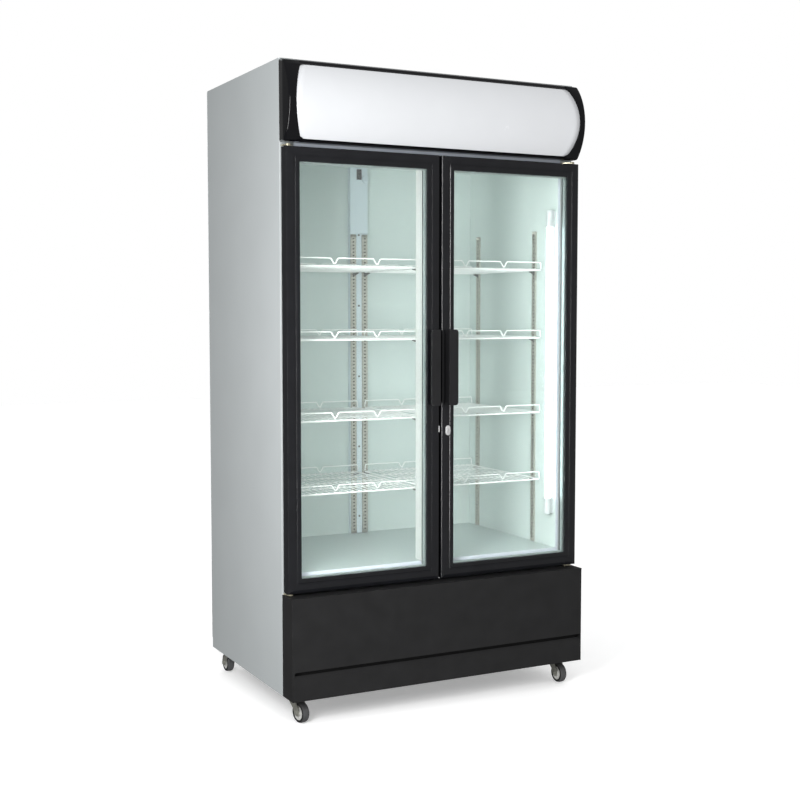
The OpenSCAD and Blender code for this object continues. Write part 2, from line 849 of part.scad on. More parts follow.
// Places its children at one corner, turned about the swivel axis; side is -1 or 1 in X, and end is
// -1 at the front and 1 at the rear.
module castor_place(side, end, turn = 0) {
    y = end < 0 ? castor_front_y : castor_rear_y;
    at_face() translate([side * castor_x, y, 0]) rotate([0, 0, turn])
        mirror([0, end < 0 ? 1 : 0, 0]) children();
}

module castor_plates() {
    plate_w = 60;
    color("silver") for (side = [-1, 1], end = [-1, 1]) castor_place(side, end) {
        block([-plate_w / 2, -plate_w / 2, castor_h - plate_t], [plate_w / 2, plate_w / 2, castor_h]);
        translate([0, 0, race_z + 0.3]) cylinder(r = 20, h = castor_h - plate_t - race_z);
        translate([0, 0, fork_z - 4.6]) cylinder(r = 4, h = race_z - fork_z + 8);
        translate([0, 0, fork_z - 5]) cylinder(r = 8, h = 4.4);
    }
}

// A pressed fork whose wheel trails towards +Y.
module castor_fork() {
    leg_t = 2.5;
    inside = wheel_w / 2 + 1.5;
    color("silver") {
        difference() {
            translate([0, 0, fork_z]) cylinder(r = 21, h = race_z - fork_z);
            translate([0, 0, fork_z - 1]) cylinder(r = 4 + run_gap, h = 8);
        }
        for (x = [-inside - leg_t, inside]) prism_x(x, leg_t) {
            polygon([[-17, race_z], [14, race_z], [trail + 10, axle_z + 8], [trail + 10, axle_z],
                     [trail - 9, axle_z - 4], [-17, fork_z - 6]]);
            translate([trail, axle_z]) circle(r = 10);
        }
        rod_x(-inside - leg_t - 4, trail, axle_z, axle_r, 2 * (inside + leg_t) + 8);
        for (x = [-inside - leg_t - 5, inside + leg_t])
            translate([x, trail, axle_z]) rotate([0, 90, 0]) cylinder(r = 7, h = 5, $fn = 6);
    }
}

module castor_wheel() {
    r = wheel_d / 2;
    half = wheel_w / 2;
    bevel = 4;
    color("gray") translate([0, trail, axle_z]) rotate([0, 90, 0]) rotate_extrude($fn = 96)
        polygon([[axle_r + run_gap, -half - 0.8], [9, -half - 0.8], [9, -half + 3], [r - 9, -half + 3],
                 [r - 7, -half], [r - bevel, -half], [r, -half + bevel], [r, half - bevel],
                 [r - bevel, half], [r - 7, half], [r - 9, half - 3], [9, half - 3], [9, half + 0.8],
                 [axle_r + run_gap, half + 0.8]]);
}

module castor_fork_front_left() { castor_place(-1, -1, swivel) castor_fork(); }
module castor_fork_front_right() { castor_place(1, -1) castor_fork(); }
module castor_fork_rear_left() { castor_place(-1, 1) castor_fork(); }
module castor_fork_rear_right() { castor_place(1, 1) castor_fork(); }
module castor_wheel_front_left() { castor_place(-1, -1, swivel) castor_wheel(); }
module castor_wheel_front_right() { castor_place(1, -1) castor_wheel(); }
module castor_wheel_rear_left() { castor_place(-1, 1) castor_wheel(); }
module castor_wheel_rear_right() { castor_place(1, 1) castor_wheel(); }

// Castor bolts, which go up through the plates and the tray.
module fasteners() {
    bolt_r = 3;
    reach = 23;
    color("silver") for (side = [-1, 1], end = [-1, 1]) castor_place(side, end)
        for (x = [-reach, reach], y = [-reach, reach])
            hexagon_bolt(x, y, castor_h - plate_t - 1.2 * bolt_r, bolt_r, 9);
}

side_panel_left();
side_panel_right();
back_panel();
top_panel();
foam_insulation();
inner_liner();
ceiling_panel();
floor_panel();
front_frame();
centre_mullion();
back_post();
shelf_strips();
shelf_clips();
shelf_left_1();
shelf_left_2();
shelf_left_3();
shelf_left_4();
shelf_right_1();
shelf_right_2();
shelf_right_3();
shelf_right_4();
interior_lamp();
hinge_plates();
canopy_end_caps();
canopy_rails();
canopy_diffuser();
canopy_tray();
canopy_lamps();
base_cover();
base_tray();
rear_grille();
fasteners();
compressor();
condenser();
condenser_fan_frame();
condenser_fan_blade();
drip_tray();
evaporator();
evaporator_fan_frame();
evaporator_fan_blade();
mains_inlet();
door_frame_left();
door_glass_left();
door_gasket_left();
door_handle_left();
door_frame_right();
door_glass_right();
door_gasket_right();
door_handle_right();
lock_housing();
lock_barrel();
castor_plates();
castor_fork_front_left();
castor_fork_front_right();
castor_fork_rear_left();
castor_fork_rear_right();
castor_wheel_front_left();
castor_wheel_front_right();
castor_wheel_rear_left();
castor_wheel_rear_right();
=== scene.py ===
"""Looks of the glass door merchandiser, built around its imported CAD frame.

Lengths are millimetres in the CAD's frame until a mesh is written, which is in metres.
"""

import json
import math

import bmesh
import bpy
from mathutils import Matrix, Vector


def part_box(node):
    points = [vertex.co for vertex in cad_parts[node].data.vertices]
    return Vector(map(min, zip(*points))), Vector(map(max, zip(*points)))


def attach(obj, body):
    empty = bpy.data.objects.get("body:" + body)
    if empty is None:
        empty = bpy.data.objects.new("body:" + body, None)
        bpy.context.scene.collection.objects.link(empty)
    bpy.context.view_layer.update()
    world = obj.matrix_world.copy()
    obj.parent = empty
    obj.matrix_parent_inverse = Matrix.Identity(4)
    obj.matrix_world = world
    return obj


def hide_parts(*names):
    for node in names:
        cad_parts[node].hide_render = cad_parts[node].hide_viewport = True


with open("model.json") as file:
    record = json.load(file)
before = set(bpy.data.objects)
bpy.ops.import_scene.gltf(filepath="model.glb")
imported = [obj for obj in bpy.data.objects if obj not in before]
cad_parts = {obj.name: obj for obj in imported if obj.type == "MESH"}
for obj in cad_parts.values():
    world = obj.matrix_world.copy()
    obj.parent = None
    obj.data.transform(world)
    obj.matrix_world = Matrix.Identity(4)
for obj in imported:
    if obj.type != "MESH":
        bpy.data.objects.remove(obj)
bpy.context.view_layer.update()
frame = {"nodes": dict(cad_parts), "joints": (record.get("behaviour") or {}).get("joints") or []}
MM = 0.001
SHELVES = 4


# ---- where the CAD's pieces are ---------------------------------------------

class Span:
    """A CAD node's box at rest, in millimetres."""

    def __init__(self, node):
        low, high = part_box(node)
        self.x0, self.y0, self.z0 = (v / MM for v in low)
        self.x1, self.y1, self.z1 = (v / MM for v in high)
        self.x, self.y, self.z = ((self.x0 + self.x1) / 2, (self.y0 + self.y1) / 2,
                                  (self.z0 + self.z1) / 2)


# ---- mesh building ----------------------------------------------------------

class Shape:
    """Points and faces gathered in millimetres, with a material number for each face."""

    def __init__(self):
        self.points, self.faces, self.kinds = [], [], []

    def add(self, points, faces, kind=0):
        first = len(self.points)
        self.points += [tuple(p) for p in points]
        self.faces += [[first + i for i in face] for face in faces]
        self.kinds += [kind] * len(faces)

    def rings(self, rings, kind=0, closed=False):
        """A skin over rings of equal length, each a closed loop of points, capped unless closed."""
        count = len(rings[0])
        points = [p for ring in rings for p in ring]
        faces = []
        last = len(rings) if closed else len(rings) - 1
        for i in range(last):
            a, b = i * count, ((i + 1) % len(rings)) * count
            for j in range(count):
                k = (j + 1) % count
                faces.append([a + j, a + k, b + k, b + j])
        if not closed:
            faces.append(list(range(count))[::-1])
            faces.append([(len(rings) - 1) * count + j for j in range(count)])
        self.add(points, faces, kind)

    def prism(self, outline, axis, low, high, kind=0):
        """An outline in the two other axes, in X, Y, Z order, drawn out along one axis."""
        self.rings([[on_axis(a, b, axis, value) for a, b in outline] for value in (low, high)], kind)

    def box(self, low, high, kind=0):
        self.prism(rectangle(low[0], low[1], high[0], high[1]), "z", low[2], high[2], kind)

    def tube(self, path, radius, sides=8, closed=False):
        """A round wire along a path of points."""
        rings = []
        count = len(path)
        side = None
        for i, point in enumerate(path):
            here = Vector(point)
            before = Vector(path[(i - 1) % count] if closed or i else point)
            after = Vector(path[(i + 1) % count] if closed or i < count - 1 else point)
            along = (after - before).normalized()
            if side is None:
                side = along.orthogonal().normalized()
            side = (side - along * side.dot(along)).normalized()
            up = along.cross(side)
            to_before, to_after = (here - before), (after - here)
            stretch = 1.0
            if to_before.length and to_after.length:
                cosine = max(-1.0, min(1.0, to_before.normalized().dot(to_after.normalized())))
                stretch = 1 / max(0.5, math.sqrt((1 + cosine) / 2))
            ring = []
            for j in range(sides):
                angle = 2 * math.pi * j / sides
                ring.append(here + (side * math.cos(angle) + up * math.sin(angle)) * radius * stretch)
            rings.append(ring)
        self.rings(rings, closed=closed)

    def lathe(self, profile, centre, axis, segments=48, kind=0):
        """A profile of (radius, along) points turned about an axis through centre."""
        rings = []
        for i in range(segments):
            angle = 2 * math.pi * i / segments
            ring = []
            for radius, along in profile:
                a, b = radius * math.cos(angle), radius * math.sin(angle)
                ring.append([c + v for c, v in zip(centre, on_axis(a, b, axis, along))])
            rings.append(ring)
        self.rings(rings, kind, closed=True)

    def mirrored(self):
        """The same shape mirrored from right to left."""
        other = Shape()
        other.points = [(-x, y, z) for x, y, z in self.points]
        other.faces = [face[::-1] for face in self.faces]
        other.kinds = list(self.kinds)
        return other

    def turned(self, x, y, angle):
        """Turns the shape about the upright axis at x, y, by an angle in radians."""
        c, s = math.cos(angle), math.sin(angle)
        self.points = [(x + (px - x) * c - (py - y) * s, y + (px - x) * s + (py - y) * c, pz)
                       for px, py, pz in self.points]
        return self

    def join(self, other):
        first = len(self.points)
        self.points += other.points
        self.faces += [[first + i for i in face] for face in other.faces]
        self.kinds += other.kinds
        return self

    def raw(self, name, materials=()):
        """Makes a plain Blender object whose faces all point outwards."""
        mesh = bpy.data.meshes.new(name)
        mesh.from_pydata([Vector(p) * MM for p in self.points], [], self.faces)
        for material in materials:
            mesh.materials.append(material)
        for polygon, kind in zip(mesh.polygons, self.kinds):
            polygon.material_index = kind
        work = bmesh.new()
        work.from_mesh(mesh)
        bmesh.ops.remove_doubles(work, verts=work.verts, dist=1e-6)
        bmesh.ops.recalc_face_normals(work, faces=work.faces)
        work.to_mesh(mesh)
        work.free()
        obj = bpy.data.objects.new(name, mesh)
        bpy.context.scene.collection.objects.link(obj)
        return obj

    def build(self, name, body, materials, slot, replaces=(), bevel=0.0, thickness=0.0, smooth=32,
              segments=2, cutters=()):
        """Makes the finished Blender object, riding on a CAD body."""
        obj = self.raw(name, materials)
        carve(obj, *cutters)
        for polygon in obj.data.polygons:
            polygon.use_smooth = True
        obj.data.set_sharp_from_angle(angle=math.radians(smooth))
        if thickness:
            solid = obj.modifiers.new("thickness", "SOLIDIFY")
            solid.thickness = thickness * MM
            solid.offset = -1
        if bevel:
            soft_edges(obj, bevel, segments)
        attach(obj, body)
        if replaces:
            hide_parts(*replaces)
        return obj


def carve(obj, *cutters):
    """Cuts closed shapes out of an object's mesh."""
    for cutter in cutters:
        tool = cutter.raw("cutter")
        cut = obj.modifiers.new("cut", "BOOLEAN")
        cut.operation = "DIFFERENCE"
        cut.solver = "EXACT"
        cut.object = tool
        view = bpy.context.evaluated_depsgraph_get()
        mesh = bpy.data.meshes.new_from_object(obj.evaluated_get(view))
        obj.modifiers.clear()
        obj.data = mesh
        bpy.data.objects.remove(tool, do_unlink=True)


def soft_edges(obj, width, segments=2):
    """Rounds an object's sharp edges by a width in millimetres."""
    bevel = obj.modifiers.new("soft edges", "BEVEL")
    bevel.width = width * MM
    bevel.segments = segments
    bevel.limit_method = "ANGLE"
    bevel.angle_limit = math.radians(35)
    bevel.harden_normals = True
    bevel.use_clamp_overlap = True


def on_axis(a, b, axis, value):
    """The point whose coordinate on axis is value and whose others are a and b, in X, Y, Z order."""
    return {"x": (value, a, b), "y": (a, value, b), "z": (a, b, value)}[axis]


def arc(centre, radius, start, end, steps=8):
    """Points on a circle from one angle to another, in degrees."""
    points = []
    for i in range(steps + 1):
        angle = math.radians(start + (end - start) * i / steps)
        points.append((centre[0] + radius * math.cos(angle), centre[1] + radius * math.sin(angle)))
    return points


def rounded(points, radii, steps=6, closed=True):
    """A polyline in two or three dimensions with its corners rounded."""
    if not hasattr(radii, "__len__"):
        radii = [radii] * len(points)
    out = []
    count = len(points)
    for i, point in enumerate(points):
        here = Vector(point)
        if radii[i] <= 0 or (not closed and i in (0, count - 1)):
            out.append(tuple(here))
            continue
        before, after = Vector(points[i - 1]), Vector(points[(i + 1) % count])
        a, b = (before - here).normalized(), (after - here).normalized()
        half = math.acos(max(-1.0, min(1.0, a.dot(b)))) / 2
        reach = min(radii[i] / math.tan(half), (before - here).length * 0.49, (after - here).length * 0.49)
        start, end = here + a * reach, here + b * reach
        for k in range(steps + 1):
            t = k / steps
            out.append(tuple(start * (1 - t) ** 2 + here * 2 * t * (1 - t) + end * t ** 2))
    return out


def rectangle(a0, b0, a1, b1):
    """The four corners of a rectangle, in order."""
    return [(a0, b0), (a1, b0), (a1, b1), (a0, b1)]


# ---- materials --------------------------------------------------------------

def shaded(name, colour, roughness, metallic=0.0, grain=0.0, grain_size=1.0, mottle=0.0, mottle_size=60.0,
           wear=0.0, cells=False, **sockets):
    """A Principled material with mottled colour, varied roughness and a fine grain; sizes in millimetres."""
    material = bpy.data.materials.new(name)
    material.use_nodes = True
    nodes, links = material.node_tree.nodes, material.node_tree.links
    surface = nodes["Principled BSDF"]
    surface.inputs["Metallic"].default_value = metallic
    for key, value in sockets.items():
        surface.inputs[key.replace("_", " ").title().replace("Ior", "IOR")].default_value = value
    place = nodes.new("ShaderNodeTexCoord")

    broad = nodes.new("ShaderNodeTexVoronoi" if cells else "ShaderNodeTexNoise")
    broad.inputs["Scale"].default_value = 1000 / mottle_size
    if not cells:
        broad.inputs["Detail"].default_value = 4
    links.new(place.outputs["Object"], broad.inputs["Vector"])
    ramp = nodes.new("ShaderNodeValToRGB")
    ramp.color_ramp.elements[0].position = 0.3
    ramp.color_ramp.elements[1].position = 0.7
    ramp.color_ramp.elements[0].color = (*[c * (1 - mottle) for c in colour], 1)
    ramp.color_ramp.elements[1].color = (*[min(1, c * (1 + mottle)) for c in colour], 1)
    links.new(broad.outputs["Distance" if cells else "Fac"], ramp.inputs["Fac"])
    links.new(ramp.outputs["Color"], surface.inputs["Base Color"])

    vary = nodes.new("ShaderNodeMapRange")
    vary.inputs["To Min"].default_value = max(0.0, roughness - wear)
    vary.inputs["To Max"].default_value = min(1.0, roughness + wear)
    links.new(broad.outputs["Distance" if cells else "Fac"], vary.inputs["Value"])
    links.new(vary.outputs["Result"], surface.inputs["Roughness"])

    if grain:
        fine = nodes.new("ShaderNodeTexNoise")
        fine.inputs["Scale"].default_value = 1000 / grain_size
        fine.inputs["Detail"].default_value = 2
        links.new(place.outputs["Object"], fine.inputs["Vector"])
        bump = nodes.new("ShaderNodeBump")
        bump.inputs["Strength"].default_value = grain
        bump.inputs["Distance"].default_value = 0.2 * MM
        links.new(fine.outputs["Fac"], bump.inputs["Height"])
        links.new(bump.outputs["Normal"], surface.inputs["Normal"])
    return material


def glowing(name, colour, strength, roughness=0.4):
    """A lit plastic whose own colour is slightly uneven."""
    material = shaded(name, colour, roughness, mottle=0.01, mottle_size=80, wear=0.03)
    surface = material.node_tree.nodes["Principled BSDF"]
    surface.inputs["Emission Color"].default_value = (*colour, 1)
    surface.inputs["Emission Strength"].default_value = strength
    return material


paint = shaded("light grey powder coat", (0.375, 0.40, 0.405), 0.38, grain=0.10, grain_size=1.4,
               mottle=0.015, mottle_size=160, wear=0.04)
mullion_paint = shaded("white mullion sheet", (0.46, 0.48, 0.47), 0.36, grain=0.06, grain_size=1.4,
                       mottle=0.01, mottle_size=120, wear=0.03)
header_paint = shaded("pale header paint", (0.57, 0.62, 0.69), 0.4, grain=0.08, grain_size=1.4,
                      mottle=0.015, mottle_size=120, wear=0.03)
liner = shaded("white liner sheet", (0.545, 0.63, 0.61), 0.34, grain=0.05, grain_size=2.0,
               mottle=0.012, mottle_size=220, wear=0.05)
liner_floor = shaded("liner floor sheet", (0.43, 0.51, 0.50), 0.36, grain=0.08, grain_size=1.6,
                     mottle=0.02, mottle_size=90, wear=0.05)
post_paint = shaded("post sheet", (0.58, 0.67, 0.71), 0.36, grain=0.05, grain_size=2.0,
                    mottle=0.01, mottle_size=120, wear=0.04)
shelf_coat = shaded("white epoxy wire", (0.84, 0.86, 0.85), 0.3, grain=0.05, grain_size=0.8,
                    mottle=0.01, mottle_size=30, wear=0.05, coat_weight=0.3)
galvanised = shaded("galvanised sheet", (0.46, 0.45, 0.40), 0.42, metallic=0.85, grain=0.06, grain_size=0.8,
                    mottle=0.10, mottle_size=9, wear=0.10, cells=True)
tray_sheet = shaded("spangled tray sheet", (0.50, 0.51, 0.51), 0.4, metallic=0.9, grain=0.05, grain_size=0.9,
                    mottle=0.12, mottle_size=16, wear=0.12, cells=True)
frame_black = shaded("black coated aluminium", (0.0065, 0.0068, 0.0085), 0.22, grain=0.08, grain_size=0.7,
                     mottle=0.15, mottle_size=45, wear=0.05, specular_ior_level=0.75)
cover_black = shaded("matt black powder coat", (0.013, 0.013, 0.0135), 0.52, grain=0.22, grain_size=0.9,
                     mottle=0.12, mottle_size=60, wear=0.06, specular_ior_level=0.4)
gloss_black = shaded("glossy black moulding", (0.003, 0.003, 0.004), 0.08, mottle=0.1, mottle_size=70,
                     wear=0.03, specular_ior_level=0.5)
handle_black = shaded("black handle sheet", (0.011, 0.011, 0.012), 0.42, grain=0.18, grain_size=0.8,
                      mottle=0.12, mottle_size=40, wear=0.06, specular_ior_level=0.5)
spacer_grey = shaded("glazing spacer", (0.36, 0.42, 0.41), 0.42, metallic=0.85, grain=0.05, grain_size=1.0,
                     mottle=0.05, mottle_size=25, wear=0.08)
rubber = shaded("black seal rubber", (0.018, 0.018, 0.019), 0.62, grain=0.15, grain_size=0.6,
                mottle=0.1, mottle_size=20, wear=0.08)
# Zinc, yellow zinc and chrome are less than fully metallic. Part of their brightness is diffuse colour, a
# painted reflection standing in for the room, which is dimmed in reflections.
zinc = shaded("bright zinc plate", (0.36, 0.36, 0.32), 0.32, metallic=0.6, grain=0.05, grain_size=0.7,
              mottle=0.10, mottle_size=12, wear=0.10)
yellow_zinc = shaded("yellow zinc plate", (0.60, 0.56, 0.42), 0.28, metallic=0.7, grain=0.05, grain_size=0.7,
                     mottle=0.14, mottle_size=9, wear=0.10)
chrome = shaded("chrome plate", (0.70, 0.70, 0.70), 0.22, metallic=0.5, mottle=0.03, mottle_size=10,
                wear=0.04)
# Near black, painted shade: it stands for the shade inside the keyway, the cover's air slot and the strips'
# slots.
hole_shade_black = shaded("painted hole shade", (0.004, 0.004, 0.004), 0.8, mottle=0.1, mottle_size=5)
tyre = shaded("grey tyre rubber", (0.060, 0.060, 0.062), 0.58, grain=0.14, grain_size=0.7,
              mottle=0.15, mottle_size=12, wear=0.08)
tyre_edge = shaded("black tyre shoulder", (0.012, 0.012, 0.012), 0.5, grain=0.1, grain_size=0.7,
                   mottle=0.15, mottle_size=12, wear=0.08)
hub_white = shaded("pale wheel hub", (0.50, 0.50, 0.48), 0.38, grain=0.05, grain_size=0.8,
                   mottle=0.04, mottle_size=12, wear=0.06)
clip_grey = shaded("shelf clip", (0.085, 0.09, 0.085), 0.45, metallic=0.4, grain=0.05, grain_size=0.8,
                   mottle=0.1, mottle_size=8, wear=0.08)
cap_grey = shaded("lamp end cap", (0.52, 0.56, 0.57), 0.4, grain=0.04, grain_size=1.0,
                  mottle=0.03, mottle_size=20, wear=0.05)
dark_plastic = shaded("black moulded plastic", (0.014, 0.014, 0.014), 0.5, grain=0.15, grain_size=0.8,
                      mottle=0.1, mottle_size=25, wear=0.06)
compressor_paint = shaded("compressor enamel", (0.010, 0.010, 0.011), 0.28, grain=0.06, grain_size=2.0,
                          mottle=0.2, mottle_size=30, wear=0.08, coat_weight=0.3)
coil_black = shaded("black coil fins", (0.018, 0.018, 0.019), 0.5, metallic=0.3, grain=0.1, grain_size=0.8,
                    mottle=0.15, mottle_size=15, wear=0.08)
coil_bright = shaded("aluminium coil fins", (0.58, 0.59, 0.60), 0.35, metallic=0.95, grain=0.08,
                     grain_size=0.8, mottle=0.08, mottle_size=15, wear=0.1)
foam = shaded("rigid foam", (0.62, 0.55, 0.30), 0.85, grain=0.4, grain_size=1.5, mottle=0.08, mottle_size=12)
lamp_glow = glowing("lit lamp tube", (0.86, 0.96, 1.0), 4.4)
sign_glow = glowing("lit sign panel", (0.50, 0.51, 0.525), 0.10, 0.26)
canopy_tube = glowing("canopy lamp tube", (0.98, 1.0, 1.0), 1.0)

glass = shaded("clear glass", (0.975, 0.995, 0.985), 0.004, mottle=0.002, mottle_size=300, wear=0.002,
               transmission_weight=1.0, ior=1.45)


# ---- canopy -----------------------------------------------------------------

caps = Span("canopy_end_caps")
sign = Span("canopy_diffuser")
door_l = Span("door_frame_left")
door_r = Span("door_frame_right")
lock = Span("lock_housing")
side_l = Span("side_panel_left")
face_y = side_l.y0                       # the cabinet's front face
body = "cabinet"

CANOPY_R = 175                           # radius of the bulging front
SIGN_BOW = 27                            # how far the sign's ends bow outwards
SIGN_CORNER = 9
TOP_DROP = 8                             # fall of the top from the cabinet to the front
CAP_ROUND = 7                            # rounding of the caps' outer edges
CAP_W = 50                               # width of a cap above and below the sign
canopy_centre_y = caps.y0 + CANOPY_R
sign_mid = sign.z
sign_half = (sign.z1 - sign.z0) / 2
bow_r = (sign_half ** 2 + SIGN_BOW ** 2) / (2 * SIGN_BOW)
sign_reach = sign.x1                     # half width of the sign at its middle


def canopy_front(z):
    """Depth of the canopy's bulging front at height z."""
    return canopy_centre_y - math.sqrt(CANOPY_R ** 2 - (z - sign_mid) ** 2)


def canopy_profile():
    """The canopy's side outline as (y, z), from its lower rear corner round the front to the top."""
    low, high = caps.z0, caps.z1
    front_top = high - TOP_DROP
    back_y = face_y - 0.2
    corners = [(back_y, low), (canopy_front(low), low)]
    steps = 40
    for i in range(1, steps):
        z = low + (front_top - low) * i / steps
        corners.append((canopy_front(z), z))
    corners += [(canopy_front(front_top), front_top), (back_y, high)]
    radii = [0, 7] + [0] * (steps - 1) + [8, 0]
    return rounded(corners, radii, 5, closed=False)


def normals_of(points):
    """Unit normals of an open polyline in (y, z), pointing out of the canopy."""
    result = []
    for i in range(len(points)):
        a, b = points[max(0, i - 1)], points[min(len(points) - 1, i + 1)]
        dy, dz = b[0] - a[0], b[1] - a[1]
        length = math.hypot(dy, dz)
        result.append((-dz / length, dy / length))
    return result


def sign_end(z):
    """Half width of the sign opening at height z, with its bowed end and rounded corners."""
    inside = sign_half - abs(z - sign_mid)
    if inside < 0:
        return 0
    bow = sign_reach - bow_r + math.sqrt(max(0, bow_r ** 2 - (z - sign_mid) ** 2))
    if inside < SIGN_CORNER:
        bow -= SIGN_CORNER - math.sqrt(max(0, SIGN_CORNER ** 2 - (SIGN_CORNER - inside) ** 2))
    return bow


def canopy_shell():
    """The right end cap: a rounded skin with an opening for the bowed end of the sign."""
    profile = canopy_profile()
    out = normals_of(profile)
    inner_x = caps.x1 - CAP_W
    extra = []
    for step in (0.01, 1, 3, 6):
        for z in (sign.z0 + step, sign.z1 - step):
            extra.append((canopy_front(z), z))
    points = list(zip(profile, out))
    for y, z in extra:
        normal = Vector((y - canopy_centre_y, z - sign_mid)).normalized()
        at = next(i for i, (p, _) in enumerate(points) if p[1] > z and i > 8)
        points.insert(at, ((y, z), (normal[0], normal[1])))
    columns = []
    for (y, z), (ny, nz) in points:
        on_front = y < face_y - 40 and sign.z0 <= z <= sign.z1
        start = sign_end(z) if on_front else inner_x
        edge, lip = (0.6, 1.6) if on_front else (0, 0.6)
        line = [(start, y - ny * 4, z - nz * 4), (start + edge, y - ny * 0.6, z - nz * 0.6),
                (start + lip, y, z)]
        for k in range(7):
            angle = math.radians(90 * k / 6)
            inset = CAP_ROUND * (1 - math.cos(angle))
            x = caps.x1 - CAP_ROUND + CAP_ROUND * math.sin(angle)
            line.append((x, y - ny * inset, z - nz * inset))
        columns.append(line)
    shape = Shape()
    width = len(columns[0])
    flat = [p for line in columns for p in line]
    faces = []
    for i in range(len(columns) - 1):
        for j in range(width - 1):
            a = i * width + j
            faces.append([a, a + 1, a + width + 1, a + width])
    shape.add(flat, faces)
    shape.add([line[-1] for line in columns], [list(range(len(columns)))])
    return shape


right_cap = canopy_shell()
end_caps = right_cap.mirrored().join(right_cap)
end_caps.build("canopy_end_cap_shells", body, [gloss_black], "gloss_black", ["canopy_end_caps"],
               thickness=2.4, smooth=50)


def canopy_rail_shape():
    """The straight rails above and below the sign, between the caps."""
    shape = Shape()
    length = caps.x1 - CAP_W + 0.4
    skin = 2.5
    top = caps.z1 - TOP_DROP
    low_front, high_front = canopy_front(caps.z0), canopy_front(top)
    inner_low, inner_high = canopy_front(sign.z0), canopy_front(sign.z1)
    lower = [(face_y - 2, caps.z0), (low_front + 5, caps.z0), (low_front + 1, caps.z0 + 1.2),
             (low_front, caps.z0 + 4), (inner_low, sign.z0), (inner_low + 4, sign.z0),
             (low_front + skin + 1, caps.z0 + skin), (face_y - 2, caps.z0 + skin)]
    upper = [(face_y - 2, caps.z1), (high_front + 8, top + 1.8), (high_front + 2, top - 0.6),
             (high_front, top - 5), (inner_high, sign.z1), (inner_high + 4, sign.z1),
             (high_front + skin + 3, top - skin), (face_y - 2, caps.z1 - skin)]
    for outline in (lower, upper):
        shape.prism(outline, "x", -length, length)
    return shape


canopy_rail_shape().build("canopy_rail_mouldings", body, [gloss_black], "gloss_black", ["canopy_rails"],
                          bevel=0.5)


def sign_panel():
    """The curved translucent panel, filling the opening between caps and rails."""
    shape = Shape()
    rows, columns = 40, 48
    recess = 1.2
    points = []
    for i in range(rows + 1):
        t = i / rows
        z = sign.z0 + 0.2 + (sign.z1 - sign.z0 - 0.4) * (0.5 - 0.5 * math.cos(math.pi * t))
        half = sign_end(z) - 0.2
        for j in range(columns + 1):
            points.append((-half + 2 * half * j / columns, canopy_front(z) + recess, z))
    width = columns + 1
    faces = [[i * width + j, i * width + j + 1, (i + 1) * width + j + 1, (i + 1) * width + j]
             for i in range(rows) for j in range(columns)]
    shape.add(points, faces)
    return shape


sign_panel().build("sign_panel", body, [sign_glow], "sign_white", ["canopy_diffuser"], thickness=2.8,
                   smooth=60)


# ---- side panels ------------------------------------------------------------

def side_panel(node):
    """A folded sheet: flat side, front return with a soft bend, and a narrow rear return."""
    span = Span(node)
    sign_x = 1 if span.x > 0 else -1
    outer = max(abs(span.x0), abs(span.x1))
    front, back = span.y0, span.y1
    skin, bend = 1.2, 2.2
    front_return, rear_return = 45, 18
    outline = [(outer - front_return, front), (outer, front), (outer, back), (outer - rear_return, back),
               (outer - rear_return, back - skin), (outer - skin, back - skin),
               (outer - skin, front + skin), (outer - front_return, front + skin)]
    radii = [0, bend, bend, 0, 0, bend - skin, bend - skin, 0]
    path = rounded([(x * sign_x, y) for x, y in outline], radii, 5)
    shape = Shape()
    shape.prism(path, "z", span.z0, span.z1)
    return shape


for hand in ("left", "right"):
    side_panel("side_panel_" + hand).build("side_skin_" + hand, body, [paint], "body_paint",
                                           ["side_panel_" + hand], bevel=0.25, smooth=25)


# ---- doors ------------------------------------------------------------------

# Each section is a list of points, as distance in from the door's edge and depth from its front.
FRAME_SECTION = [(0, 38), (0, 4), (0.5, 2), (1.6, 0.7), (3.5, 0), (24, 0), (25.4, 0.6), (26.2, 1.8),
                 (29.6, 1.8), (30.4, 0.9), (31.8, 0.4), (41.5, 0.4), (43.2, 0.9), (44, 2.4), (44, 6.7),
                 (31, 6.7),
                 (31, 29.3), (44, 29.3), (44, 36.5), (42.5, 38)]
GASKET_SECTION = [(16, 0.1), (34, 0.1), (34.5, 1.2), (33, 2.0), (34.2, 3.2), (33.2, 4.4), (34, 5.2),
                  (33.4, 6.4), (20, 6.4), (19, 5.2), (17.6, 4.4), (18.4, 3.2), (16.6, 2.4), (17.2, 1.2)]


def mitred_loop(section, x0, z0, x1, z1, y, gap=0.15):
    """Four bars round a rectangle, with a section of (distance inwards, depth), mitred at the corners."""
    shape = Shape()
    for vertical in (True, False):
        for first in (True, False):
            ends = []
            for end in (0, 1):
                ring = []
                for u, d in section:
                    cut = u + gap
                    if vertical:
                        x = x0 + u if first else x1 - u
                        ring.append((x, y + d, z0 + cut if end == 0 else z1 - cut))
                    else:
                        z = z0 + u if first else z1 - u
                        ring.append((x0 + cut if end == 0 else x1 - cut, y + d, z))
                ends.append(ring)
            shape.rings(ends)
    return shape


def glazing(span, front):
    """The two panes, and the spacer between them, as two shapes."""
    pocket = 32
    pane, total = 4, 22
    outer = front + 7
    x0, x1, z0, z1 = span.x0 + pocket, span.x1 - pocket, span.z0 + pocket, span.z1 - pocket
    panes = Shape()
    for y in (outer, outer + total - pane):
        panes.box((x0, y, z0), (x1, y + pane, z1))
    near, far = pane + 0.2, total - pane - 0.2
    spacer = mitred_loop([(1, near), (15, near), (15, far), (1, far)], x0, z0, x1, z1, outer, 0.1)
    return panes, spacer


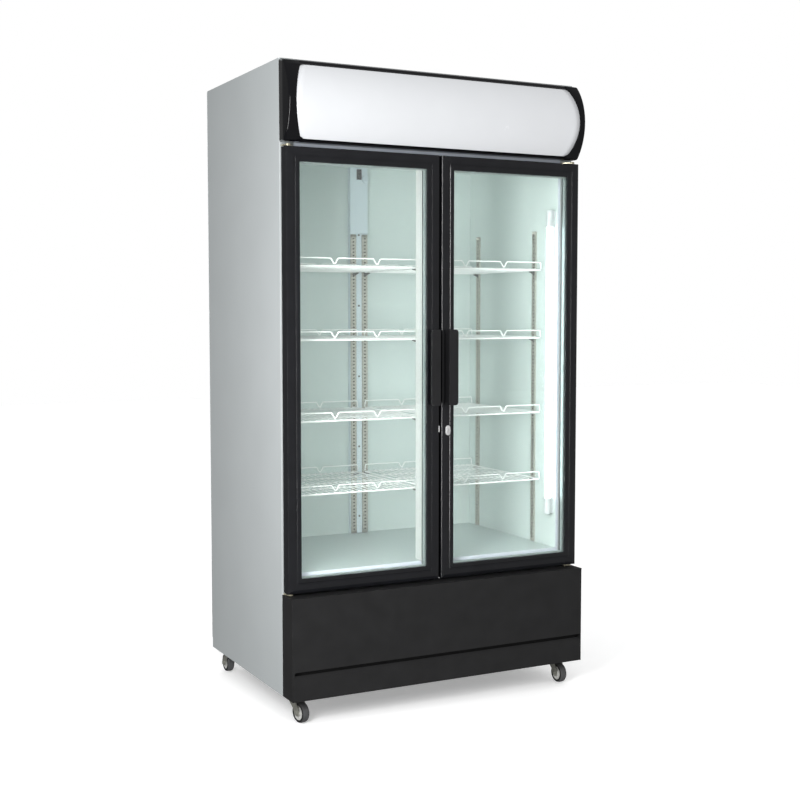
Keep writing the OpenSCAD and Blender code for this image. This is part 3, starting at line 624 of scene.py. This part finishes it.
def handle_shape(span, front):
    """An angle handle: a wall off the door and a flange with rounded free corners; on the right."""
    shape = Shape()
    skin, corner, wall_corner = 4, 11, 3
    screw_inset = 28
    x0, x1 = span.x0, span.x1
    outline = rounded(rectangle(x0, span.z0, x1, span.z1), [wall_corner, corner, corner, wall_corner], 8)
    shape.prism(outline, "y", span.y0, span.y0 + skin)
    shape.box((x0, span.y0 + skin - 1.5, span.z0 + 1.5), (x0 + skin, front + 0.05, span.z1 - 1.5))
    for z in (span.z0 + screw_inset, span.z1 - screw_inset):
        shape.lathe([(0.01, 0), (3.6, 0), (3.6, 1.2), (2.6, 2.2), (0.01, 2.4)],
                    (x0 + skin + 8, front - 2.5, z), "y", 20)
    shape.box((x0, front - 1.4, span.z0 + 8), (x0 + 20, front + 0.02, span.z1 - 8))
    return shape


BARREL_BORE = 5.6                        # radius of the hole that the lock's barrel sits in


def lock_cuts():
    """What the lock needs cut out of each door's frame: the cam's pockets, and a bore on the right."""
    bore_depth = 30
    depth = (door_r.y - 4, door_r.y + 4)
    strike_pocket, cam_pocket, bore = Shape(), Shape(), Shape()
    strike_pocket.box((lock.x - 49, depth[0], lock.z - 36), (door_l.x1 + 2, depth[1], lock.z + 8))
    cam_pocket.box((door_r.x0 - 2, depth[0], lock.z - 46), (lock.x + 7.2, depth[1], lock.z + 8))
    bore.lathe([(0.01, 0), (BARREL_BORE, 0), (BARREL_BORE, bore_depth), (0.01, bore_depth)],
               (lock.x, door_r.y0 - 1, lock.z), "y", 32)
    return {"left": [strike_pocket], "right": [cam_pocket, bore]}


for hand, span in (("left", door_l), ("right", door_r)):
    rides = "door_" + hand
    front = span.y0
    frame_bars = mitred_loop(FRAME_SECTION, span.x0, span.z0, span.x1, span.z1, front)
    frame_bars.build("door_bars_" + hand, rides, [frame_black], "frame_black", ["door_frame_" + hand],
                     bevel=0.35, smooth=25, cutters=lock_cuts()[hand])
    panes, spacer = glazing(span, front)
    glass_piece = panes.build("door_panes_" + hand, rides, [glass], "glazing", ["door_glass_" + hand])
    glass_piece.visible_shadow = False
    spacer.build("door_spacer_" + hand, rides, [spacer_grey], "galvanised", bevel=0.3)
    seal = mitred_loop(GASKET_SECTION, span.x0, span.z0, span.x1, span.z1, span.y1, 0.05)
    seal.build("door_seal_" + hand, rides, [rubber], "gasket_rubber", ["door_gasket_" + hand], smooth=50)

grip = handle_shape(Span("door_handle_right"), door_r.y0)
grip.mirrored().build("grip_left", "door_left", [handle_black], "frame_black", ["door_handle_left"],
                      bevel=0.9, segments=3)
grip.build("grip_right", "door_right", [handle_black], "frame_black", ["door_handle_right"], bevel=0.9,
           segments=3)


# ---- lock -------------------------------------------------------------------

def escutcheon():
    """The lock's oval plate with its raised collar."""
    shape = Shape()
    half_w = (lock.x1 - lock.x0) / 2
    straight = (lock.z1 - lock.z0) / 2 - half_w
    back = door_r.y0

    def oval(shrink):
        upper = arc((lock.x, lock.z + straight), half_w - shrink, 0, 180, 16)
        lower = arc((lock.x, lock.z - straight), half_w - shrink, 180, 360, 16)
        return upper + lower

    levels = [(0, 0), (0, -1.4), (0.3, -2.6), (0.8, -3.0)]
    shape.rings([[(x, back + d, z) for x, z in oval(s)] for s, d in levels])
    collar = [(BARREL_BORE, -2.9), (7.4, -2.9), (7.3, -5.4), (6.9, -6.0), (6.2, -6.0), (BARREL_BORE, -5.2)]
    shape.lathe(collar, (lock.x, back, lock.z), "y", 32)
    return shape


escutcheon().build("lock_escutcheon", "door_right", [chrome], "chrome", ["lock_housing"], smooth=40)

# The keyway is a thin near-black plate on the lock's face, not a cut: painted shade of the key slot.
key_half_w, key_half_h = 0.7, 3.2
keyway_shade = Shape()
keyway_shade.box((lock.x - key_half_w, lock.y0 - 0.75, lock.z - key_half_h),
             (lock.x + key_half_w, lock.y0 - 0.45, lock.z + key_half_h))
keyway_shade.build("keyway", "lock_cam", [hole_shade_black], "black_plastic")

strike = Shape()                         # a small angle over the left door's inner front edge
strike_low, strike_high = lock.z - 4, lock.z + 15
strike_x, strike_front = door_l.x1 + 0.8, door_l.y0 - 1.0
strike.box((door_l.x1 - 2.6, strike_front, strike_low), (strike_x, door_l.y0 + 0.1, strike_high))
strike.box((door_l.x1 - 0.1, strike_front, strike_low), (strike_x, door_l.y0 + 14, strike_high))
strike.build("lock_strike", "door_left", [chrome], "chrome", bevel=0.3)


# ---- base cover -------------------------------------------------------------

cover = Span("base_cover")


def base_cover():
    """A folded cover: front with its air slot and bevelled ledge, plain left return, louvred right return."""
    shape = Shape()
    skin = 1.5
    slot_low, slot_high = cover.z0 + 78, cover.z0 + 89
    ledge_low, bevel_depth = slot_low - 9, 7
    margin = 7
    x0, x1, front, back = cover.x0, cover.x1, cover.y0, cover.y1
    middle = (slot_low + slot_high) / 2
    slot_r = (slot_high - slot_low) / 2
    outline = [(x0, ledge_low), (x0 + margin, ledge_low)]
    outline += arc((x0 + margin + slot_r, middle), slot_r, 180, 90, 6)
    outline += [(x1, slot_high), (x1, cover.z1), (x0, cover.z1)]
    shape.prism(outline, "y", front, front + skin)
    shape.box((x0, front, cover.z0), (x1, front + skin, ledge_low))
    ledge = [(front, ledge_low - 0.5), (front + bevel_depth, slot_low),
             (front + bevel_depth, slot_low - skin), (front + skin, ledge_low - 1.5)]
    shape.prism(ledge, "x", x0 + margin - 1, x1)
    hood = [(front + skin, slot_high), (front + 12, slot_high + 6), (front + 12, slot_high + 7.5),
            (front + skin - 0.2, slot_high + 1.5)]
    shape.prism(hood, "x", x0 + margin, x1 - 2)
    shape.box((x0, front + 0.2, cover.z0), (x0 + skin, back, cover.z1))
    shape.box((x0 + 0.5, front + 0.2, cover.z1 - skin), (x1 - 0.5, back, cover.z1))
    shape.box((x0 + 0.5, front + 0.2, cover.z0), (x1 - 0.5, front + 16, cover.z0 + skin))
    web = x1 - 2.6
    shape.box((web - skin, front + 0.2, cover.z0), (web, back, cover.z1))
    for low, high in ((front, front + 7), (back - 8, back)):
        shape.box((web - 0.1, low + 0.2, cover.z0), (x1, high, cover.z1))
    for low, high in ((cover.z0, cover.z0 + 10), (cover.z1 - 10, cover.z1)):
        shape.box((web - 0.1, front + 0.2, low), (x1, back, high))
    louvres, pitch = 12, 22
    for i in range(louvres):
        z = cover.z0 + (i + 1) * pitch
        scoop = [(web - 0.2, z), (x1 - 0.2, z + 3), (x1, z + 4), (x1 - 0.2, z + 5), (x1 - 1.0, z + 10),
                 (web - 0.2, z + 16)]
        shape.prism(scoop, "y", front + 12, back - 14)
    return shape


base_cover().build("base_cover_sheet", body, [cover_black], "cover_black", ["base_cover"], bevel=0.6)

# A near-black sheet just behind the cover's air slot: painted shade of the space behind the slot.
slot_shade = Shape()
slot_shade.box((cover.x0 + 8, cover.y0 + 14, cover.z0 + 50), (cover.x1 - 8, cover.y0 + 15, cover.z0 + 120))
slot_shade.build("slot_shade_sheet", body, [hole_shade_black], "cover_black", bevel=0.2)


# ---- castors ----------------------------------------------------------------

class Castor:
    """A castor's swivel axis and wheel centre in millimetres, and how far it stands turned, in radians."""

    def __init__(self, corner):
        joints = {joint["name"]: [v / MM for v in joint["pos_m"]] for joint in frame["joints"]}
        self.x, self.y, _ = joints["castor_swivel_" + corner]
        hub_x, hub_y, self.axle = joints["wheel_spin_" + corner]
        self.toward = 1 if hub_y > self.y else -1
        self.turn = math.atan2((self.x - hub_x) * self.toward, (hub_y - self.y) * self.toward)
        self.hub_y = self.y + self.toward * math.hypot(hub_x - self.x, hub_y - self.y)


def castor_fork(castor, top):
    """A pressed fork with rounded legs, a domed crown and an axle with nuts."""
    toward, axis_y, axle = castor.toward, castor.y, castor.axle
    centre_x, hub_y = castor.x, castor.hub_y
    hub = (centre_x, hub_y, axle)
    inside, leg, nut_h, axle_r = 14.2, 2.3, 5, 3.9
    outside = inside + leg
    nut = [(0.01, 0), (7.2, 0), (7.2, nut_h - 1), (6.5, nut_h), (0.01, nut_h)]
    shape = Shape()
    crown = [(4.3, top - 3.2), (19, top - 3.2), (21, top - 2.4), (21.2, top - 0.8), (20, top), (4.3, top)]
    shape.lathe(crown, (centre_x, axis_y, 0), "z", 40)
    corners = [(-17, top), (15, top), (30, top - 20), (38.5, axle + 8), (37.5, axle - 6), (28, axle - 10.5),
               (18.5, axle - 6), (8, axle + 12), (-17, top - 9)]
    outline = rounded([(axis_y + toward * a, b) for a, b in corners], [2, 4, 20, 8, 6, 6, 6, 20, 3], 5)
    for x in (centre_x - outside, centre_x + inside):
        shape.prism(outline, "x", x, x + leg)
    shape.lathe([(r, -outside - d) for r, d in nut[::-1]], hub, "x", 6)
    shape.lathe([(r, outside + d) for r, d in nut], hub, "x", 6)
    shape.lathe([(0.01, -inside), (axle_r, -inside), (axle_r, inside), (0.01, inside)], hub, "x", 16)
    return shape.turned(castor.x, castor.y, castor.turn)


def castor_wheel(castor, r):
    """Tyre, shoulders and hub; kinds are tyre, shoulder and hub."""
    half = 12.5
    centre = (castor.x, castor.hub_y, castor.axle)
    shape = Shape()
    crown = [(r - 2 + 2 * math.cos(a), -half + 3.6 + (half * 2 - 7.2) * k / 8)
             for k, a in enumerate([0.9, 0.4, 0.15, 0.05, 0, 0.05, 0.15, 0.4, 0.9])]
    tread = [(r - 7, -half + 2.2), (r - 2.4, -half + 1.6)] + crown
    tread += [(r - 2.4, half - 1.6), (r - 7, half - 2.2)]
    shape.lathe(tread, centre, "x", 64, 0)
    shoulder = [(r - 9.2, half - 3), (r - 8.6, half - 0.6), (r - 5, half), (r - 2.6, half - 1.0),
                (r - 3.2, half - 2.8)]
    shape.lathe([(radius, -along) for radius, along in shoulder], centre, "x", 64, 1)
    shape.lathe(shoulder[::-1], centre, "x", 64, 1)
    half_hub = [(r - 9, 10.6), (r - 10.5, 10.6), (r - 13, 7.6), (9.6, 9.0), (9.2, 12.4), (8.6, 13.2),
                (4.1, 13.2)]
    hub = [(radius, -along) for radius, along in half_hub[::-1]] + half_hub
    shape.lathe(hub, centre, "x", 48, 2)
    rivets, rivet_circle = 6, 14.6
    rivet = [(0.01, 7.4), (2.3, 7.4), (2.6, 9.6), (1.8, 10.2), (0.01, 10.4)]
    far_rivet = [(radius, -along) for radius, along in rivet[::-1]]
    for profile in (far_rivet, rivet):
        for i in range(rivets):
            angle = math.radians(360 / rivets * i + 15)
            y = centre[1] + rivet_circle * math.cos(angle)
            z = centre[2] + rivet_circle * math.sin(angle)
            shape.lathe(profile, (centre[0], y, z), "x", 14, 2)
    return shape.turned(castor.x, castor.y, castor.turn)


for corner in ("front_left", "front_right", "rear_left", "rear_right"):
    fork_node, wheel_node = "castor_fork_" + corner, "castor_wheel_" + corner
    castor = Castor(corner)
    wheel_span = Span(wheel_node)
    fork = castor_fork(castor, Span(fork_node).z1)
    fork.build("fork_" + corner, "castor_" + corner, [zinc], "zinc", [fork_node], bevel=0.5)
    wheel = castor_wheel(castor, (wheel_span.z1 - wheel_span.z0) / 2)
    wheel.build("wheel_" + corner, "wheel_" + corner, [tyre, tyre_edge, hub_white], "wheel_grey",
                [wheel_node], smooth=40)


# ---- shelves ----------------------------------------------------------------

def wire_shelf(node):
    """A welded wire shelf: frame and cross wires, close front-to-back wires, and a bumped lip at each end."""
    span = Span(node)
    frame_r, cross_r, wire_r, lip_r = 2.6, 2.2, 1.5, 2.0
    deck = span.z0 + 8
    low = deck - 3 - frame_r
    shape = Shape()
    x0, x1, y0, y1 = span.x0 + frame_r, span.x1 - frame_r, span.y0 + frame_r, span.y1 - frame_r
    border = rounded([(x, y, low) for x, y in rectangle(x0, y0, x1, y1)], 8, 4)
    shape.tube(border, frame_r, 10, closed=True)
    for t in (0.25, 0.5, 0.75):
        y = y0 + (y1 - y0) * t
        shape.tube([(x0, y, low), (x1, y, low)], cross_r, 8)
    wires = 21
    for i in range(1, wires):
        x = x0 + (x1 - x0) * i / wires
        path = rounded([(x, y0 - 0.2, low + 1), (x, y0 + 0.3, deck - wire_r), (x, y1 - 0.3, deck - wire_r),
                        (x, y1 + 0.2, low + 1)], 2.5, 3, closed=False)
        shape.tube(path, wire_r, 6)
    bay = (x1 - x0) / 3
    slope = 13
    top = span.z1 - lip_r
    foot = deck - 1
    for y in (y0, y1):
        path = [(x0 + 1, y, foot)]
        for i in range(3):
            a = x0 + 1 + i * (bay - 0.6)
            rise = slope if i else 2
            fall = slope if i < 2 else 2
            path += [(a + rise, y, top), (a + bay - fall, y, top), (a + bay, y, foot)]
        shape.tube(rounded(path, 5, 4, closed=False), lip_r, 8)
    return shape


def slotted_strip(x, y, z0, z1, facing):
    """A channel with a row of slots in its web, standing off a wall along facing, one of +x -x +y -y."""
    shape = Shape()
    half, depth, skin = 10, 6, 1.2
    pitch, slot_half_w, slot_half_h = 12, 3.4, 2.2
    sign_f = 1 if facing[0] == "+" else -1

    def place(u, d, z):
        return (x + sign_f * d, y + u, z) if facing[1] == "x" else (x + u, y + sign_f * d, z)

    count = int((z1 - z0 - 16) / pitch)
    first = z0 + (z1 - z0 - (count - 1) * pitch) / 2
    for i in range(count):
        zc = first + i * pitch
        low = z0 if i == 0 else zc - pitch / 2
        high = z1 if i == count - 1 else zc + pitch / 2
        outer = rectangle(-half, low, half, high)
        hole = rectangle(-slot_half_w, zc - slot_half_h, slot_half_w, zc + slot_half_h)
        points = [place(u, depth, z) for u, z in outer + hole] + [place(u, depth - skin, z) for u, z in hole]
        faces = [[k, (k + 1) % 4, 4 + (k + 1) % 4, 4 + k] for k in range(4)]
        faces += [[4 + k, 4 + (k + 1) % 4, 8 + (k + 1) % 4, 8 + k] for k in range(4)]
        shape.add(points, faces)
    for u in (-half, half):
        inner = u - skin if u > 0 else u + skin
        for edge in (u, inner):
            shape.add([place(edge, d, z) for d, z in rectangle(0, z0, depth, z1)], [[0, 1, 2, 3]])
    # A near-black sheet just off the wall inside the channel: painted shade, seen through the slots.
    back = rectangle(-half + skin, z0, half - skin, z1)
    shape.add([place(u, 1.0, z) for u, z in back], [[0, 1, 2, 3]], 1)
    return shape


strips = Span("shelf_strips")
post = Span("back_post")
POST_STEP = 15.6                         # from the post's back to the front of its slotted part
RIB_D = 2.2                              # how far the strip down the post's middle stands out
post_step_z = strips.z1 + 4              # where the slotted part ends and the upper plate begins
mullion = Span("centre_mullion")
shelf_nodes = ["shelf_%s_%d" % (hand, i + 1) for hand in ("left", "right") for i in range(SHELVES)]
for node in shelf_nodes:
    wire_shelf(node).build("wires_" + node, body, [shelf_coat], "shelf_coat", [node], smooth=60)

inner_x = strips.x1
strip_rows = Shape()
first_shelf = Span("shelf_right_1")
side_ys = (first_shelf.y0 + 56, first_shelf.y1 - 32)
strip_x = 22
for y in side_ys:
    strip_rows.join(slotted_strip(inner_x, y, strips.z0, strips.z1, "-x"))
strip_rows.join(slotted_strip(strip_x, mullion.y1, strips.z0, strips.z1, "+y"))
strip_rows.join(slotted_strip(strip_x, post.y1 - POST_STEP, strips.z0, strips.z1, "-y"))
strip_rows.mirrored().join(strip_rows).build("slotted_strips", body, [galvanised, hole_shade_black], "galvanised",
                                             ["shelf_strips"])


def shelf_hooks():
    """The small clips under the shelves' corners."""
    shape = Shape()
    for i in range(SHELVES):
        top = Span("shelf_right_%d" % (i + 1)).z0 - 0.1
        for y in side_ys:
            root, tip = inner_x - 6, inner_x - 21
            outline = rounded([(root, top), (tip, top), (tip, top - 3), (root, top - 10)], [0, 1, 1, 0], 3)
            shape.prism(outline, "y", y - 5, y + 5)
        for start, reach in ((mullion.y1 + 6, 56), (post.y1 - POST_STEP - 6, -34)):
            tip = start + reach
            outline = rounded([(start, top), (tip, top), (tip, top - 3), (start, top - 11)], [0, 1, 1, 0], 3)
            shape.prism(outline, "x", strip_x - 4, strip_x + 4)
    return shape


hooks = shelf_hooks()
hooks.mirrored().join(hooks).build("shelf_hooks", body, [clip_grey], "clip_plastic", ["shelf_clips"],
                                   bevel=0.4)


# ---- interior ---------------------------------------------------------------

def post_cover():
    """The centre post: a folded cover with a plain upper plate and a raised middle strip."""
    shape = Shape()
    front = post.y1 - POST_STEP
    half = post.x1
    shape.box((-half, front, post.z0), (half, post.y1, post_step_z))
    shape.box((-half, post.y0, post_step_z), (half, post.y1, post.z1))
    shape.box((-9, front - RIB_D, post.z0), (9, front + 0.1, post_step_z))
    return shape


post_cover().build("post_cover", body, [post_paint], "white_liner", ["back_post"], bevel=0.8)

fittings = Shape()
upper = post.y0
screw_head = [(0.01, -2.2), (2.2, -2.0), (3.6, -1.0), (3.8, 0), (0.01, 0)]
for z in (strips.z1 - 2, strips.z1 - 250, strips.z1 - 500, strips.z1 - 750, strips.z0 + 60):
    fittings.lathe(screw_head, (0, post.y1 - POST_STEP - RIB_D, z), "y", 16, 0)
fittings.box((-9, upper - 3, post.z1 - 42), (9, upper + 0.2, post.z1 - 6), 1)
knob = [(0.01, -10), (9, -10), (12, -8), (13, -3), (13, 0), (0.01, 0)]
fittings.lathe(knob, (22, upper, post.z1 - 40), "y", 28, 2)
fittings.build("post_fittings", body, [clip_grey, dark_plastic, post_paint], "clip_plastic", bevel=0.4)


def upright_lamp():
    """The lamp on the right wall: tube, end caps and a slim wall channel; kinds are tube and cap."""
    span = Span("interior_lamp")
    shape = Shape()
    tube_r, cap_h, cap_r = 10, 54, 12.5
    stand_off = 17.6                     # from the wall to the tube's middle
    x, y = span.x1 - stand_off, span.y
    z0, z1 = span.z0 + cap_h, span.z1 - cap_h
    tube = [(0.01, z0 - 1), (tube_r - 1, z0 - 1), (tube_r, z0 + 1), (tube_r, z1 - 1), (tube_r - 1, z1 + 1),
            (0.01, z1 + 1)]
    shape.lathe(tube, (x, y, 0), "z", 32, 0)
    for low in (span.z0, z1):
        high = low + cap_h
        cap = [(0.01, low), (10.4, low), (12.2, low + 2.5), (cap_r, low + 5), (cap_r, high - 5),
               (12.2, high - 2), (11, high), (0.01, high)]
        shape.lathe(cap, (x, y, 0), "z", 32, 1)
        shape.box((x, y - 9, low + 3), (span.x1, y + 9, high - 3), 1)
    shape.box((x + 13, y - 6, z0), (span.x1, y + 6, z1), 1)
    return shape


upright_lamp().build("upright_lamp", body, [lamp_glow, cap_grey], "lamp_tube", ["interior_lamp"], smooth=40)


# ---- carried-over CAD nodes -------------------------------------------------

CARRIED = {
    "back_panel": paint, "top_panel": paint, "foam_insulation": foam, "inner_liner": liner,
    "ceiling_panel": liner, "floor_panel": liner_floor, "front_frame": header_paint,
    "centre_mullion": mullion_paint, "hinge_plates": yellow_zinc, "canopy_tray": gloss_black,
    "canopy_lamps": canopy_tube, "base_tray": tray_sheet, "rear_grille": tray_sheet,
    "fasteners": zinc, "castor_plates": zinc, "compressor": compressor_paint, "condenser": coil_black,
    "condenser_fan_frame": coil_black, "condenser_fan_blade": dark_plastic, "drip_tray": dark_plastic,
    "evaporator": coil_bright, "evaporator_fan_frame": coil_black, "evaporator_fan_blade": dark_plastic,
    "mains_inlet": dark_plastic, "lock_barrel": chrome,
}
SOFTENED = {"hinge_plates": 0.4, "castor_plates": 0.3, "fasteners": 0.3, "drip_tray": 0.8, "mains_inlet": 0.6}
for node, material in CARRIED.items():
    obj = frame["nodes"][node]
    obj.data.materials.clear()
    obj.data.materials.append(material)
    if node in SOFTENED:
        soft_edges(obj, SOFTENED[node])


# ---- room, light and camera -------------------------------------------------

def stage():
    """A pale floor, wider than the view."""
    mesh = bpy.data.meshes.new("floor")
    reach = 14                           # metres
    corners = [(x, y, 0) for x, y in rectangle(-reach, -reach, reach, reach)]
    mesh.from_pydata(corners, [], [[0, 1, 2, 3]])
    floor = bpy.data.objects.new("floor", mesh)
    bpy.context.scene.collection.objects.link(floor)
    mesh.materials.append(glowing("pale floor", (0.90, 0.90, 0.90), 0.28, 0.6))
    floor.visible_diffuse = False
    floor.visible_glossy = False


def area_light(name, place, aim, size, power, mirrored=True):
    """A soft light that the camera doesn't see, and that glossy surfaces may or may not mirror."""
    data = bpy.data.lights.new(name, "AREA")
    data.shape = "RECTANGLE"
    data.size, data.size_y = size
    data.energy = power
    light = bpy.data.objects.new(name, data)
    light.location = place
    light.rotation_euler = (Vector(aim) - Vector(place)).to_track_quat("-Z", "Y").to_euler()
    light.visible_camera = False
    light.visible_glossy = mirrored
    bpy.context.scene.collection.objects.link(light)
    return light


def soft_room(mirrored=0.2, shaded_side=0.45, dark_way=(-0.6, 0.6, -0.55)):
    """A white room, dimmer in mirror reflections and towards the cabinet's rear left."""
    world = bpy.data.worlds.new("soft white room")
    bpy.context.scene.world = world
    world.use_nodes = True
    nodes, links = world.node_tree.nodes, world.node_tree.links

    def math_node(operation, first, second):
        node = nodes.new("ShaderNodeMath")
        node.operation = operation
        node.use_clamp = True
        links.new(first, node.inputs[0])
        links.new(second, node.inputs[1])
        return node.outputs["Value"]

    def between(value, start, end):
        node = nodes.new("ShaderNodeMapRange")
        node.inputs["To Min"].default_value = start
        node.inputs["To Max"].default_value = end
        links.new(value, node.inputs["Value"])
        return node.outputs["Result"]

    path = nodes.new("ShaderNodeLightPath")
    way = nodes.new("ShaderNodeTexCoord")
    toward = nodes.new("ShaderNodeVectorMath")
    toward.operation = "DOT_PRODUCT"
    toward.inputs[1].default_value = Vector(dark_way).normalized()
    links.new(way.outputs["Generated"], toward.inputs[0])
    mirror = math_node("SUBTRACT", path.outputs["Is Glossy Ray"], path.outputs["Is Transmission Ray"])
    seen_in_mirror = between(mirror, 1.0, mirrored)
    seen_on_dark_side = between(toward.outputs["Value"], 1.0, shaded_side)
    dimmed = math_node("MULTIPLY", seen_in_mirror, seen_on_dark_side)
    strength = math_node("MAXIMUM", dimmed, path.outputs["Is Camera Ray"])
    nodes["Background"].inputs["Color"].default_value = (1, 1, 1, 1)
    links.new(strength, nodes["Background"].inputs["Strength"])


stage()
soft_room()
area_light("key", (-1.2, -4.2, 3.4), (0, 0, 1.1), (2.4, 2.4), 32, mirrored=False)
area_light("left fill", (-1.6, -1.6, 1.2), (-0.52, -0.2, 1.2), (0.6, 1.0), 42, mirrored=False)
strip = area_light("left strip", (-2.6, -1.5, 1.2), (-0.5, -0.3, 1.2), (0.3, 2.3), 45)
strip.visible_diffuse = False
camera_data = bpy.data.cameras.new("camera")
camera = bpy.data.objects.new("camera", camera_data)
bpy.context.scene.collection.objects.link(camera)
bpy.context.scene.camera = camera
camera_data.lens = 57.33
camera_data.clip_start = 0.05
TURN, TILT = 27.26, 3.89                 # degrees round to the left of the front, and downwards
camera.location = (-1.9417, face_y * MM - 3.5351, 1.2411)
camera.rotation_euler = (math.radians(90 - TILT), 0, math.radians(-TURN))

bpy.context.scene.view_settings.view_transform = "Standard"
